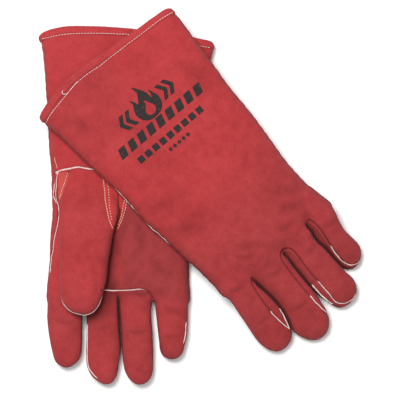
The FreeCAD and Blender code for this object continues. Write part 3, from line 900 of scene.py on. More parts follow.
def leather(name, dark, mid, light, scale=1.0, ink=None):
    """Split leather: a short matt nap, mottled, with painted shade from the shade attribute and paler where worn."""
    mat, t, bsdf = node_tree(name)
    at = attribute(t, "rest", "Vector")
    broad = noise_node(t, at, 26.0 * scale, 2.0)
    mottle = noise_node(t, at, 115.0 * scale, 3.0, 0.6)
    grain = noise_node(t, at, 620.0 * scale, 4.0, 0.65)
    fibre_at = add(t, "ShaderNodeMapping")
    fibre_at.inputs["Scale"].default_value = (0.45, 1.7, 1.0)
    fibre_at.inputs["Rotation"].default_value = (0.0, 0.0, 0.5)
    t.links.new(at, fibre_at.inputs["Vector"])
    fibre = noise_node(t, fibre_at.outputs[0], 1250.0 * scale, 3.0, 0.6)
    mix = math_node(t, "ADD", math_node(t, "MULTIPLY", broad, 0.26), math_node(t, "MULTIPLY", mottle, 0.38))
    mix = math_node(t, "ADD", mix, math_node(t, "MULTIPLY", grain, 0.24))
    mix = math_node(t, "ADD", mix, math_node(t, "MULTIPLY", fibre, 0.12))
    tone = blended(t, mapped(t, mix, 0.36, 0.5), dark + (1,), mid + (1,))
    tone = blended(t, mapped(t, mix, 0.5, 0.66), tone, light + (1,))
    # painted shade with random blotches: where tan is high the leather is darker and browner
    shaded_tone = blended(t, 1.0, tone, (0.66, 1.0, 0.98, 1), "MULTIPLY")
    tone = blended(t, attribute(t, "tan"), tone, shaded_tone)
    # small darker scuffs and paler rubs
    scuff = mapped(t, noise_node(t, at, 48.0 * scale, 5.0, 0.7), 0.60, 0.74)
    tone = blended(t, math_node(t, "MULTIPLY", scuff, 0.20), tone, tuple(0.62 * c for c in dark) + (1,))
    worn = math_node(t, "MULTIPLY", attribute(t, "wear"), mapped(t, grain, 0.3, 0.7))
    tone = blended(t, math_node(t, "MULTIPLY", worn, 0.55), tone, tuple(min(1, 1.28 * c + 0.02) for c in light) + (1,))
    # painted shade: the shade attribute darkens seams, creases, steep sides and the folds beside the thumb
    tone = blended(t, math_node(t, "MULTIPLY", attribute(t, "shade"), 0.84), tone,
                   tuple(0.25 * c for c in dark) + (1,))
    if ink:
        gone = mapped(t, math_node(t, "ADD", math_node(t, "MULTIPLY", grain, 0.6),
                                   math_node(t, "MULTIPLY", noise_node(t, at, 210.0, 4.0, 0.7), 0.4)), 0.585, 0.66)
        dull = blended(t, mapped(t, fibre, 0.3, 0.7), tuple(0.75 * c for c in ink) + (1,),
                       tuple(1.35 * c for c in ink) + (1,))
        tone = blended(t, gone, dull, tone)
    t.links.new(tone, bsdf.inputs["Base Color"])
    t.links.new(mapped(t, mix, 0.35, 0.65, 0.96, 0.84), bsdf.inputs["Roughness"])
    bsdf.inputs["Specular IOR Level"].default_value = 0.22
    bsdf.inputs["Sheen Weight"].default_value = 0.05
    bsdf.inputs["Sheen Roughness"].default_value = 0.6
    bsdf.inputs["Sheen Tint"].default_value = (1.0, 0.55, 0.5, 1.0)
    height = math_node(t, "ADD", math_node(t, "MULTIPLY", grain, 0.55), math_node(t, "MULTIPLY", fibre, 0.25))
    height = math_node(t, "ADD", height, math_node(t, "MULTIPLY", mottle, 0.6))
    bump = add(t, "ShaderNodeBump")
    bump.inputs["Strength"].default_value = 0.55
    bump.inputs["Distance"].default_value = 0.00055
    t.links.new(height, bump.inputs["Height"])
    t.links.new(bump.outputs[0], bsdf.inputs["Normal"])
    return mat


def cotton(name, low, high):
    """Twill-woven cotton."""
    mat, t, bsdf = node_tree(name)
    at = attribute(t, "rest", "Vector")
    turn = add(t, "ShaderNodeMapping")
    turn.inputs["Rotation"].default_value = (0.0, 0.0, 0.9)
    t.links.new(at, turn.inputs["Vector"])
    rib = add(t, "ShaderNodeTexWave", wave_type="BANDS", bands_direction="X")
    rib.inputs["Scale"].default_value = 260.0
    rib.inputs["Distortion"].default_value = 1.2
    rib.inputs["Detail"].default_value = 2.0
    t.links.new(turn.outputs[0], rib.inputs["Vector"])
    fuzz = noise_node(t, at, 900.0, 3.0, 0.6)
    soft = noise_node(t, at, 60.0, 3.0, 0.5)
    f = math_node(t, "ADD", math_node(t, "MULTIPLY", rib.outputs["Fac"], 0.5), math_node(t, "MULTIPLY", fuzz, 0.5))
    tone = blended(t, mapped(t, f, 0.2, 0.8), low + (1,), high + (1,))
    tone = blended(t, math_node(t, "MULTIPLY", mapped(t, soft, 0.4, 0.7), 0.25), tone, tuple(0.7 * c for c in low) + (1,))
    t.links.new(tone, bsdf.inputs["Base Color"])
    t.links.new(mapped(t, fuzz, 0.3, 0.7, 0.98, 0.88), bsdf.inputs["Roughness"])
    bsdf.inputs["Sheen Weight"].default_value = 0.2
    bsdf.inputs["Specular IOR Level"].default_value = 0.2
    bump = add(t, "ShaderNodeBump")
    bump.inputs["Strength"].default_value = 0.6
    bump.inputs["Distance"].default_value = 0.0004
    t.links.new(f, bump.inputs["Height"])
    t.links.new(bump.outputs[0], bsdf.inputs["Normal"])
    return mat


def twine(name, low, high):
    """Spun sewing thread, plied and slightly fuzzy."""
    mat, t, bsdf = node_tree(name)
    at = attribute(t, "rest", "Vector")
    ply = add(t, "ShaderNodeTexWave", wave_type="BANDS", bands_direction="DIAGONAL")
    ply.inputs["Scale"].default_value = 900.0
    ply.inputs["Distortion"].default_value = 1.5
    t.links.new(at, ply.inputs["Vector"])
    fuzz = noise_node(t, at, 1500.0, 2.0, 0.6)
    f = math_node(t, "ADD", math_node(t, "MULTIPLY", ply.outputs["Fac"], 0.55), math_node(t, "MULTIPLY", fuzz, 0.45))
    tone = blended(t, mapped(t, f, 0.2, 0.8), low + (1,), high + (1,))
    t.links.new(tone, bsdf.inputs["Base Color"])
    t.links.new(mapped(t, fuzz, 0.3, 0.7, 0.85, 0.65), bsdf.inputs["Roughness"])
    bsdf.inputs["Sheen Weight"].default_value = 0.15
    bump = add(t, "ShaderNodeBump")
    bump.inputs["Strength"].default_value = 0.5
    bump.inputs["Distance"].default_value = 0.00015
    t.links.new(f, bump.inputs["Height"])
    t.links.new(bump.outputs[0], bsdf.inputs["Normal"])
    return mat


RED = leather("split_leather", (0.268, 0.0206, 0.0234), (0.337, 0.0272, 0.0302), (0.386, 0.0348, 0.0376))
WELTING = leather("welt_leather", (0.46, 0.29, 0.27), (0.64, 0.47, 0.44), (0.76, 0.62, 0.58), 1.6)
COTTON = cotton("cotton_lining", (0.58, 0.53, 0.46), (0.78, 0.74, 0.66))
WHITE_THREAD = twine("white_thread", (0.56, 0.40, 0.36), (0.80, 0.68, 0.62))
RUST_THREAD = twine("rust_thread", (0.46, 0.09, 0.04), (0.66, 0.17, 0.08))
PEACH_THREAD = twine("peach_thread", (0.52, 0.25, 0.18), (0.78, 0.47, 0.36))
PRINT = leather("printed_leather", (0.268, 0.0206, 0.0234), (0.337, 0.0272, 0.0302), (0.386, 0.0348, 0.0376),
                ink=(0.021, 0.018, 0.018))


def dress(ob, mat):
    ob.data.materials.clear()
    ob.data.materials.append(mat)
    return ob


# ------------------------------------------------------------------- meshing
def make(g, lo, hi):
    verts, quads = build(g, lo, hi)
    g.verts, g.shade, g.wear = finish_surface(g, verts, quads)
    g.quads = quads
    g.normals = normals_of(g.verts, quads)
    g.tan = shade_and_blotches(g, g.verts)
    # painted shade on the steep sides, where the leather turns away from the light, so the edges look darker
    side = (1 - step01(np.abs(g.normals[:, 2]), 0.05, 0.62)) * step01(g.depth_in, -1.9, -0.9)
    g.shade = np.maximum(g.shade, 0.55 * side * step01(g.hem_gap, 3.0, 9.0) + 0.2 * side)
    # painted shade on the walls that face a neighbouring finger
    g.shade = np.maximum(g.shade, step01(1 - np.abs(g.normals[:, 2]), 0.15, 0.5) * g.facing)
    # painted shade and shadow beside the right thumb, and less painted shade on the thumb's outer flank
    if g is RIGHT:
        g.shade = np.maximum(g.shade, painted_thumb_shadow(g))
        g.shade[g.is_thumb & (g.verts[:, 1] < -44)] *= 0.15
    g.tree = BVHTree.FromPolygons([tuple(v) for v in g.verts], quads.tolist())
    print("surface", g.side, len(g.verts), "vertices", len(quads), "faces",
          np.round(g.verts.min(0), 1), np.round(g.verts.max(0), 1))


make(RIGHT, (-14, -80, -1), (333, 92, 48))
make(LEFT, (-26, -84, -2), (318, 92, 54))


NAMES = ("index", "middle", "ring", "little")
RIGHT.cut = (258.0, 258.0, 258.0, 258.0)
LEFT.cut = (233.0, 232.0, 232.0, 226.0)
RIGHT.bend = ((259.0, 275.0),) * 4
LEFT.bend = ((233.0, 246.0), (232.0, 245.0), (232.0, 245.0), (230.0, 243.0))
RIGHT.thumb_bend, LEFT.thumb_bend = (165.0, 186.0), (165.0, 184.0)
RIGHT.wrist, LEFT.wrist = 132.0, 116.0


def point(g, u, w=0.0, z=20.0):
    return tuple(float(v) for v in g.place([(u, w, z)])[0])


def follow(g, ob, part):
    """Ride on the hand; a finger or thumb piece only has its transform baked in place."""
    if part == "hand":
        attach(ob, g.side + "_hand")
        return
    a, b = g.thumb_bend if part == "thumb" else g.bend[NAMES.index(part)]
    point(g, a)
    point(g, b)
    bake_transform(ob)


def pieces_of(g):
    q = g.quads
    cu = g.verts[q, 0].mean(1)
    thumb = g.is_thumb[q].mean(1) > 0.5
    thumb &= cu > (140 if g is RIGHT else 138)
    finger = np.array([np.bincount(r, minlength=4).argmax() for r in g.finger_of[q]])
    cut = np.array(g.cut)[finger]
    in_finger = ~thumb & (cu > cut)
    deep = g.depth_in[q].mean(1)
    hem = g.hem_gap[q].mean(1)
    inner = (deep < -1.55) & ~thumb & ~in_finger & (hem > 0.6) & (cu < 125)
    upper = g.over_seam[q].mean(1) > 0
    hand = ~thumb & ~in_finger & ~inner
    binding = (hand & (hem < 6.6)) | (inner & (hem < 9.0))
    hand &= ~binding
    inner &= ~binding
    front = upper if g is RIGHT else ~upper
    g.thumb_quads = thumb
    s = g.side + "_"
    made = {}

    def piece(name, keep, mat, part, nodes):
        ob = subset(g, s + name, q, keep)
        dress(ob, mat)
        follow(g, ob, part)
        if nodes:
            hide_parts(*[s + n for n in nodes])
        made[name] = ob
        return ob

    piece("hand_back_leather", hand & ~front, RED, "hand", ["hand_back", "hand_lining"])
    piece("palm_leather", hand & front & (cu > g.wrist), RED, "hand", ["palm"])
    piece("cuff_front_leather", hand & front & (cu <= g.wrist), RED, "hand", ["cuff_front"])
    piece("cuff_hem_leather", binding, RED, "hand", ["cuff_binding"])
    piece("cuff_lining_cotton", inner, COTTON, "hand", ["cuff_lining"])
    g.turned = turned_edge(g, inner, binding)
    for i, n in enumerate(NAMES):
        piece(n + "_finger", in_finger & (finger == i), RED, n,
              [n + "_back", n + "_front", n + "_fourchettes", n + "_lining"])
    piece("thumb_leather", thumb, RED, "thumb",
          ["thumb_back", "thumb_front", "thumb_lining"])
    return made


PIECES = {"right": pieces_of(RIGHT), "left": pieces_of(LEFT)}


# ------------------------------------------------- welts, stitches and patches
def extra(g, name, v, f, mat, part, replaced=(), shade=0.0):
    ob = mesh_object(g.side + "_" + name, g.place(v), f, None,
                     {"rest": np.asarray(v) / 1000, "shade": np.full(len(v), shade), "wear": np.zeros(len(v)),
                      "tan": shade_and_blotches(g, np.asarray(v)) if mat in (RED, PRINT) else np.zeros(len(v))})
    dress(ob, mat)
    follow(g, ob, part)
    if replaced:
        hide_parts(*[g.side + "_" + n for n in replaced])
    return ob


def turned_in(g, back_to=162.0, steps=9):
    """Leather turned in where the thumb leaves the palm: sheets from the thumb's rim back into the glove, one on the
    hand and one on the thumb.
    """
    q = g.quads[g.thumb_quads]
    e = np.vstack([q[:, [i, (i + 1) % 4]] for i in range(4)])
    _, first, count = np.unique(np.sort(e, 1), axis=0, return_index=True, return_counts=True)
    rim = e[first[count == 1]]
    rim = rim[g.verts[rim, 0].min(1) > back_to + 3]
    used, at = np.unique(rim, return_inverse=True)
    at = at.reshape(-1, 2)
    p = g.verts[used]
    print("fold", g.side, len(rim), np.round(p.min(0), 1), np.round(p.max(0), 1))
    mid = p[:, 1].mean()
    n = len(used)
    for part, drop in (("hand", 1.8), ("thumb", 0.9)):
        rows = []
        for k in range(steps):
            t = k / (steps - 1)
            rows.append(np.stack([p[:, 0] + (back_to - p[:, 0]) * t,
                                  mid + (p[:, 1] - mid) * (1 - 0.25 * t),
                                  p[:, 2] - drop * min(1.0, 6 * t)], 1))
        f = np.vstack([np.stack([at[:, 0] + k * n, at[:, 1] + k * n, at[:, 1] + (k + 1) * n,
                                 at[:, 0] + (k + 1) * n], 1) for k in range(steps - 1)])
        # the turned-in fold carries painted shade
        extra(g, "thumb_fold_" + part, np.vstack(rows), f.tolist(), RED, part, shade=0.45)


def seam_points(g, line, above=True, offset=0.0, step=0.9, sway=0.0, seed=0):
    c = evenly(catmull(line, 1.0), step)
    if sway:
        t = np.gradient(c, axis=0)
        t /= np.linalg.norm(t, axis=1)[:, None]
        k = np.arange(len(c)) * step
        d = sway * noise(np.column_stack([k, k * 0, k * 0]), 6.0, 70 + seed)
        c = c + np.column_stack([-t[:, 1], t[:, 0]]) * d[:, None]
    return on_surface(g, c, above, offset)


def welt_along(g, lines, width=1.3, height=0.75, above=True, seed=0, taper=3.0, sway=0.22):
    parts = []
    for k, line in enumerate(lines):
        p, n = seam_points(g, line, above, -0.25, 0.7, sway, seed + k)
        parts.append(ribbon(p, n, width, height + 0.25, seed + k, taper=taper))
    return joined(parts)


def side_points(g, line, away, inset=0.0):
    """Along the glove's edge at seam height: where a level ray from outside meets it."""
    c = evenly(catmull(line, 1.0), 1.0)
    t = np.gradient(c, axis=0)
    t /= np.linalg.norm(t, axis=1)[:, None]
    out = np.column_stack([t[:, 1], -t[:, 0]]) * away
    pts, nrm = [], []
    sag = step01(c[:, 1], 20, 90) * step01(c[:, 0], 20, 120) * 5.0 if g is LEFT else 0 * c[:, 0]
    zz = smooth_interp(c[:, 0], g.seam_z) - sag
    for p, o, z in zip(c, out, zz):
        start = Vector((p[0] + o[0] * 14, p[1] + o[1] * 14, z))
        hit = g.tree.ray_cast(start, Vector((-o[0], -o[1], 0)), 40)
        if hit[0] is None:
            continue
        pts.append(np.array(hit[0]) - inset * np.array(hit[1]))
        nrm.append(np.array([o[0], o[1], 0.0]))
    pts = np.array(pts)
    for _ in range(4):
        pts[1:-1] = (pts[:-2] + 2 * pts[1:-1] + pts[2:]) / 4
    return pts, smooth_rows(np.array(nrm))


turned_in(RIGHT)


def sheet_on(g, outline, thick, spacing=1.1, above=True, holes=(), rim=0.5):
    """A thin piece lying on the glove inside an outline of u, w points."""
    edge = evenly(np.vstack([outline, outline[:1]]), spacing)[:-1]
    rings = [edge] + [evenly(np.vstack([h, h[:1]]), spacing)[:-1] for h in holes]
    lo, hi = edge.min(0), edge.max(0)
    gx, gy = np.meshgrid(np.arange(lo[0], hi[0], spacing), np.arange(lo[1], hi[1], spacing), indexing="ij")
    pts = np.stack([gx.ravel() + 0.31 * spacing * (np.arange(gx.size) % 2), gy.ravel()], 1)
    keep = inside(pts, edge)
    for r in rings:
        keep &= near(pts, np.vstack([r, r[:1]]))[0] > 0.55 * spacing
    for r in rings[1:]:
        keep &= ~inside(pts, r)
    pts = pts[keep]
    vs, es, n = [], [], 0
    for r in rings:
        es += [(n + i, n + (i + 1) % len(r)) for i in range(len(r))]
        vs.append(r)
        n += len(r)
    flat = np.vstack(vs + [pts])
    got = delaunay_2d_cdt([Vector(v) for v in flat], es, [list(range(len(edge)))], 1, 1e-6)
    v2 = np.array([tuple(v) for v in got[0]])
    tri = np.array([t for t in got[2] if len(t) == 3])
    mid = v2[tri].mean(1)
    for r in rings[1:]:
        tri, mid = tri[~inside(mid, r)], mid[~inside(mid, r)]
    pos = np.zeros((len(v2), 3))
    nor = np.zeros((len(v2), 3))
    ok = np.zeros(len(v2), bool)
    for i, p in enumerate(v2):
        hit = g.tree.ray_cast(Vector((p[0], p[1], 120.0 if above else -60.0)), Vector((0, 0, -1.0 if above else 1.0)))
        if hit[0] is not None:
            pos[i], nor[i], ok[i] = hit[0], hit[1], True
    tri = tri[ok[tri].all(1)]
    dist = np.full(len(v2), 9.0)
    for r in rings:
        dist = np.minimum(dist, near(v2, np.vstack([r, r[:1]]))[0])
    dome = thick * (1 - np.clip(1 - dist / rim, 0, 1) ** 2 * 0.75) if thick > 0.3 else np.full(len(v2), thick)
    top = pos + nor * dome[:, None]
    a, b, c = v2[tri[:, 0]], v2[tri[:, 1]], v2[tri[:, 2]]
    ccw = (b[:, 0] - a[:, 0]) * (c[:, 1] - a[:, 1]) - (b[:, 1] - a[:, 1]) * (c[:, 0] - a[:, 0]) > 0
    if not above:
        ccw = ~ccw
    tri[~ccw] = tri[~ccw][:, ::-1]
    # a skirt down into the leather along every free edge
    e = np.vstack([tri[:, [0, 1]], tri[:, [1, 2]], tri[:, [2, 0]]])
    key = {}
    for i, j in e:
        key[(i, j)] = key.get((i, j), 0) + 1
    rimmed = [(i, j) for (i, j) in key if (j, i) not in key]
    low = pos - nor * 0.35
    skirt = []
    for i, j in rimmed:
        skirt += [(i, len(v2) + j, j), (i, len(v2) + i, len(v2) + j)]
    v = np.vstack([top, low])
    f = np.vstack([tri, np.array(skirt, int)])
    used, inverse = np.unique(f, return_inverse=True)
    return v[used], inverse.reshape(f.shape)


def stitches(g, name, rows, mat, part, above=True, pitch=3.2, length=2.4, radius=0.42, replaced=(), seed=1,
             offset=0.0):
    parts = []
    for k, line in enumerate(rows):
        p, n = seam_points(g, line, above, offset, 0.7)
        if len(p) > 4:
            parts.append(thread(p, n, pitch, length, radius, seed=seed + k))
    v, f = joined(parts)
    return extra(g, name, v, f, mat, part, replaced)


# hems
LEFT.hem_line = [(3.0, -76.5), (0.9, -71.0), (-1.3, -64.7), (-2.9, -57.7), (-4.6, -50.7), (-6.3, -43.7),
                 (-7.9, -36.7), (-8.8, -30.3), (-9.3, -21.8), (-8.9, -13.1), (-8.4, -5.0), (-8.9, 4.6), (-8.9, 15.8),
                 (-9.1, 27.6), (-8.9, 38.9), (-9.1, 50.7), (-9.1, 62.5), (-8.5, 71.5), (-8.0, 76.0)]
RIGHT.hem_line = [(9.7, -72.4), (8.3, -64.6), (6.4, -55.3), (5.5, -46.1), (5.0, -36.9), (5.0, -18.5),
                  (5.6, -4.0), (6.4, 9.2), (9.4, 32.0), (12.6, 52.0), (16.0, 71.0), (17.5, 80.0), (18.0, 83.8)]
for g in (RIGHT, LEFT):
    hem_u = [(smooth_interp_w(np.array([w]), g.hem)[0] + 7.0, w) for w in np.linspace(g.hem_line[0][1] + 3,
                                                                                    g.hem_line[-1][1] - 3, 24)]
    parts = []
    p, n = seam_points(g, [tuple(q) for q in g.hem_line], True, 0.05, 0.7)
    parts.append(thread(p, n, 2.7, 2.3, 0.27, seed=3))
    p, n = seam_points(g, hem_u, False, 0.05, 0.7)
    parts.append(thread(p, n, 2.7, 2.3, 0.27, seed=4))
    v, f = joined(parts)
    extra(g, "hem_thread", v, f, WHITE_THREAD, "hand", ["hem_stitching"])

# the cut edge of the turned-in leather, over the lining
for g in (RIGHT, LEFT):
    v, f = ribbon(g.turned[0], g.turned[1], 2.4, 0.55, 60, 0.9, 1.0)
    # the turned edge carries painted shade
    extra(g, "cuff_turned_edge", v, f, RED, "hand", (), 0.15)

# side seams: the folded strip that stands out of them
RIGHT.thumb_edge = [(14.0, -71.6), (29.5, -69.8), (57.1, -68.5), (92.2, -65.8), (121.7, -64.0), (158.6, -62.9),
                    (186.2, -63.5), (213.9, -65.0), (241.5, -66.6), (256.0, -67.3)]
RIGHT.little_edge = [(28.0, 83.4), (45.0, 80.2), (70.0, 75.6), (100.0, 70.2), (130.0, 66.3), (160.0, 64.3),
                     (190.0, 63.2), (215.7, 62.8), (241.5, 62.8), (256.0, 62.6)]
LEFT.thumb_edge = [(2.0, -77.0), (19.2, -73.6), (44.3, -70.0), (71.9, -65.6), (93.7, -61.6), (117.1, -59.2),
                   (135.4, -57.9), (159.7, -53.0), (181.5, -48.7), (209.1, -43.7), (231.0, -40.2)]
LEFT.little_edge = [(-4.0, 77.6), (18.6, 77.2), (46.9, 77.2), (79.3, 76.7), (115.3, 78.0), (160.8, 77.7),
                    (190.1, 79.9), (209.1, 85.0), (218.0, 86.4), (224.5, 86.3)]
for g in (RIGHT, LEFT):
    parts = []
    for k, (line, away) in enumerate(((g.thumb_edge, 1), (g.little_edge, -1))):
        p, n = side_points(g, line, away, 0.35)
        parts.append(ribbon(p, n, 1.5, 0.95, 20 + k))
    v, f = joined(parts)
    # the side welts carry painted shade
    extra(g, "side_seam_welts", v, f, RED, "hand", ["side_welts"], 0.25)
parts = []
for k, (line, wide) in enumerate((([(86.0, -62.9), (96.0, -61.2), (107.3, -60.2), (121.0, -59.3)], 0.55),
                                  ([(129.0, -58.6), (138.0, -57.2), (146.8, -55.2), (154.0, -53.9), (162.0, -52.6)],
                                   1.15))):
    p, n = side_points(LEFT, line, 1, 0.2)
    parts.append(ribbon(p + n * 0.15 + np.array([0, 0, 0.9]), n, wide, 0.6 + 0.2 * k, 25 + k, taper=8.0))
v, f = joined(parts)
extra(LEFT, "side_welt_pale_run", v, f, WELTING, "hand")

# right glove, palm up
v, f = welt_along(RIGHT, [[(133.6, -60.6), (132.6, -57.2), (130.9, -52.6), (129.6, -46.1), (128.3, -38.8),
                           (129.3, -32.3), (130.4, -24.9), (131.2, -10.0), (132.0, 10.0), (132.0, 40.0),
                           (132.0, 61.0)]], 1.6, 1.0, True, 1, 3.0)
extra(RIGHT, "wrist_seam_welt", v, f, WELTING, "hand", ["wrist_welt"])
v, f = welt_along(LEFT, [[(116.0, -54.0), (115.5, -20.0), (116.0, 20.0), (116.0, 60.0), (116.0, 72.0)]],
                  1.6, 1.0, False, 2)
extra(LEFT, "wrist_seam_welt", v, f, WELTING, "hand", ["wrist_welt"])
v, f = welt_along(RIGHT, [[(133.4, -57.6), (142.0, -58.3), (153.7, -59.0), (160.0, -58.0), (165.4, -56.9),
                           (172.0, -56.5), (178.0, -56.7), (185.0, -58.0), (192.5, -59.9), (202.0, -61.8),
                           (211.9, -63.2), (220.0, -64.4), (227.4, -65.3)],
                          [(142.0, -59.9), (149.0, -61.0), (156.5, -61.0), (163.0, -58.6)]], 0.75, 0.6, True, 5,
                  3.0, 0.45)
p, n = seam_points(RIGHT, [(132.2, -57.9), (133.8, -57.6), (135.6, -57.5)], True, -0.2, 0.4)
v, f = joined([(v, f), ribbon(p, n, 3.0, 2.0, 7, taper=1.2)])
extra(RIGHT, "thumb_side_welt", v, f, WELTING, "hand")
v, f = welt_along(RIGHT, [[(241.3, -16.5), (242.0, -8.0), (242.1, -1.9), (241.7, 9.2), (240.6, 17.0),
                           (240.9, 21.5), (242.6, 25.3)]], 1.15, 0.6, True, 8, 12.0)
extra(RIGHT, "finger_base_welt", v, f, WELTING, "hand")

PATCH = leather("patch_leather", (0.292, 0.0226, 0.0226), (0.366, 0.0302, 0.0298), (0.420, 0.0390, 0.0376))
ORANGE = leather("gusset_leather", (0.325, 0.031, 0.027), (0.408, 0.047, 0.038), (0.470, 0.066, 0.054))

# the patch in the thumb's crotch folds into the crease: one leaf on the thumb, one on the palm
LEAF_THUMB = np.array([(137.0, -16.6), (149.3, -15.2), (158.6, -14.3), (167.8, -12.4), (177.0, -10.4),
                       (184.6, -7.4), (187.0, -5.8), (180.0, -3.6), (172.0, -1.9), (165.0, -1.6), (152.0, -1.8),
                       (139.0, -3.4), (136.6, -9.0)])
LEAF_PALM = np.array([(139.0, -2.6), (152.0, -1.0), (163.0, -0.7), (170.5, 0.9), (178.5, -0.9), (184.0, -2.9),
                      (187.6, -3.4), (186.4, -1.2), (181.6, 1.3), (174.2, 4.1), (167.8, 5.9), (161.3, 7.0),
                      (152.0, 8.4), (144.0, 8.0), (138.5, 3.0)])
v, f = sheet_on(RIGHT, catmull(LEAF_THUMB, 1.0, True), 0.9)
extra(RIGHT, "thumb_crotch_patch", v, f, PATCH, "thumb", ["thumb_patch"], 0.0)
v, f = sheet_on(RIGHT, catmull(LEAF_PALM, 1.0, True), 0.9)
extra(RIGHT, "thumb_crotch_patch_palm", v, f, PATCH, "hand", (), 0.0)
LEFT_PATCH = np.array([(121.0, -1.9), (133.3, -0.6), (142.6, 0.3), (151.8, 2.2), (161.0, 4.2), (168.6, 7.1),
                       (172.6, 10.4), (171.0, 12.4), (165.6, 15.6), (158.2, 18.4), (151.8, 20.2), (145.3, 21.3),
                       (136.0, 22.6), (128.0, 22.0), (122.5, 16.0), (120.0, 6.0)])
v, f = sheet_on(LEFT, catmull(LEFT_PATCH, 1.0, True), 0.95, 1.4, False)
extra(LEFT, "thumb_crotch_patch", v, f, PATCH, "hand", ["thumb_patch"], 0.0)
v, f = sheet_on(RIGHT, np.array([(132.9, -56.6), (132.4, -47.4), (142.0, -49.9), (149.3, -52.6), (158.6, -55.0),
                                    (163.4, -56.4), (150.0, -57.6), (140.0, -57.4)]), 0.25, 1.1)
extra(RIGHT, "thumb_gusset", v, f, ORANGE, "hand")


def inner_row(shape, d):
    """A line of points a little way in from a closed outline."""
    c = catmull(shape, 1.0, True)
    t = np.roll(c, -1, 0) - np.roll(c, 1, 0)
    t /= np.linalg.norm(t, axis=1)[:, None]
    nrm = np.column_stack([-t[:, 1], t[:, 0]])
    area2 = (c[:, 0] * np.roll(c[:, 1], -1) - np.roll(c[:, 0], -1) * c[:, 1]).sum()
    return c + nrm * (d if area2 > 0 else -d)


stitches(RIGHT, "patch_thread_thumb", [[(138.0, -15.6), (149.3, -14.1), (158.6, -13.2), (167.8, -11.3),
                                        (177.0, -9.3), (184.4, -6.6)]], PEACH_THREAD, "thumb", True,
         2.3, 2.0, 0.40, seed=11, offset=0.9)
stitches(RIGHT, "patch_thread_thumb_inner", [[(140.0, -11.6), (149.3, -10.6), (158.6, -9.8), (167.8, -8.8),
                                              (176.5, -7.4)]], PEACH_THREAD, "thumb", True,
         2.7, 1.6, 0.42, seed=12, offset=0.9)
stitches(RIGHT, "patch_thread_palm", [[(142.0, 6.6), (152.0, 7.2), (161.3, 5.9), (167.8, 4.8), (174.2, 3.0),
                                       (181.6, 0.2), (185.6, -2.0)],
                                      [(158.0, 4.6), (164.0, 3.2), (170.5, 2.2), (176.5, 0.6), (182.0, -1.6)]],
         PEACH_THREAD, "hand", True, 2.5, 1.8, 0.40, seed=13, offset=0.9)
stitches(RIGHT, "gusset_thread", [[(133.2, -48.0), (142.0, -50.5), (149.3, -53.2), (157.6, -55.3)]],
         PEACH_THREAD, "hand", True, 2.2, 1.9, 0.36, seed=21, offset=0.25)
stitches(RIGHT, "gusset_thread_outer", [[(134.0, -46.6), (142.4, -49.2), (150.0, -51.9), (156.0, -53.8)]],
         RUST_THREAD, "hand", True, 2.3, 2.0, 0.34, seed=22, offset=0.0)
rows = []
for d in (1.2, 3.4):
    r = inner_row(LEFT_PATCH, d)
    rows.append([tuple(q) for q in r[::3]])
stitches(LEFT, "patch_thread", rows, PEACH_THREAD, "hand", False, 2.7, 2.0, 0.36, seed=31, offset=0.92)

# fingers
FINGER_WELTS = [
    (LEFT, "index", "index_outer_welt", [[(263.0, -15.9), (267.0, -15.7), (272.2, -15.3), (279.7, -14.0),
                                          (286.0, -12.6), (289.6, -11.2)]], 1.1, 0.6),
    (LEFT, "index", "index_inner_welt", [[(266.0, -7.9), (272.0, -8.2), (279.0, -9.6), (285.5, -11.0),
                                          (290.0, -12.6)]], 1.0, 0.6),
    (LEFT, "middle", "middle_outer_welt", [[(273.5, 21.6), (281.2, 22.0), (287.7, 22.9), (295.4, 24.1),
                                            (300.5, 24.6)]], 1.2, 0.7),
    (LEFT, "ring", "ring_outer_welt", [[(267.2, 35.2), (274.8, 35.9), (283.3, 36.6), (290.9, 36.6), (295.6, 38.0),
                                        (299.2, 41.2), (301.4, 46.6), (301.8, 52.0), (299.0, 58.0)]], 1.15, 0.65),
    (LEFT, "ring", "ring_inner_welt", [[(267.0, 28.9), (277.0, 29.9), (285.0, 31.0), (292.0, 32.9),
                                        (295.5, 34.6)]], 1.7, 0.9),
    (LEFT, "little", "little_outer_welt", [[(248.6, 64.4), (254.7, 63.9), (262.6, 64.1), (269.8, 65.3),
                                            (274.6, 68.0), (277.2, 71.8), (277.7, 76.0), (276.0, 79.0)]], 1.1, 0.65),
    (RIGHT, "middle", "middle_side_welt", [[(272.0, -30.0), (284.0, -30.0), (296.0, -30.3), (306.0, -30.2),
                                            (313.5, -28.8), (319.6, -24.6), (324.0, -19.5)]], 1.0, 0.6),
    (RIGHT, "little", "little_side_welt", [[(270.0, 61.0), (283.0, 60.2), (292.2, 58.0)]], 1.1, 0.6),
]
for g, part, name, lines, wide, tall in FINGER_WELTS:
    v, f = welt_along(g, lines, wide, tall, True, len(name))
    extra(g, name, v, f, WELTING, part)

# the right thumb's seam, round its tip at half height
c = evenly(catmull([(246.0, -53.8), (249.5, -53.1), (253.5, -51.2), (259.1, -46.3), (262.5, -39.0), (263.7, -31.4),
                    (261.5, -25.2), (257.2, -21.0), (250.8, -17.5), (244.5, -15.1)], 1.0), 0.9)
t = np.gradient(c, axis=0)
t /= np.linalg.norm(t, axis=1)[:, None]
pts, nrm = [], []
for q, o in zip(c, np.column_stack([t[:, 1], -t[:, 0]])):
    for s in (1, -1):
        hit = RIGHT.tree.ray_cast(Vector((q[0] + s * o[0] * 12, q[1] + s * o[1] * 12, 34.0)),
                                  Vector((-s * o[0], -s * o[1], 0)), 20)
        if hit[0] is not None and np.linalg.norm(np.array(hit[0])[:2] - q) < 4:
            pts.append(np.array(hit[0]))
            nrm.append(np.array([s * o[0], s * o[1], 0.0]))
            break
pts, nrm = np.array(pts), np.array(nrm)
for _ in range(3):
    pts[1:-1] = (pts[:-2] + 2 * pts[1:-1] + pts[2:]) / 4
v, f = ribbon(pts, smooth_rows(nrm), 1.1, 0.5, 9, taper=9.0)
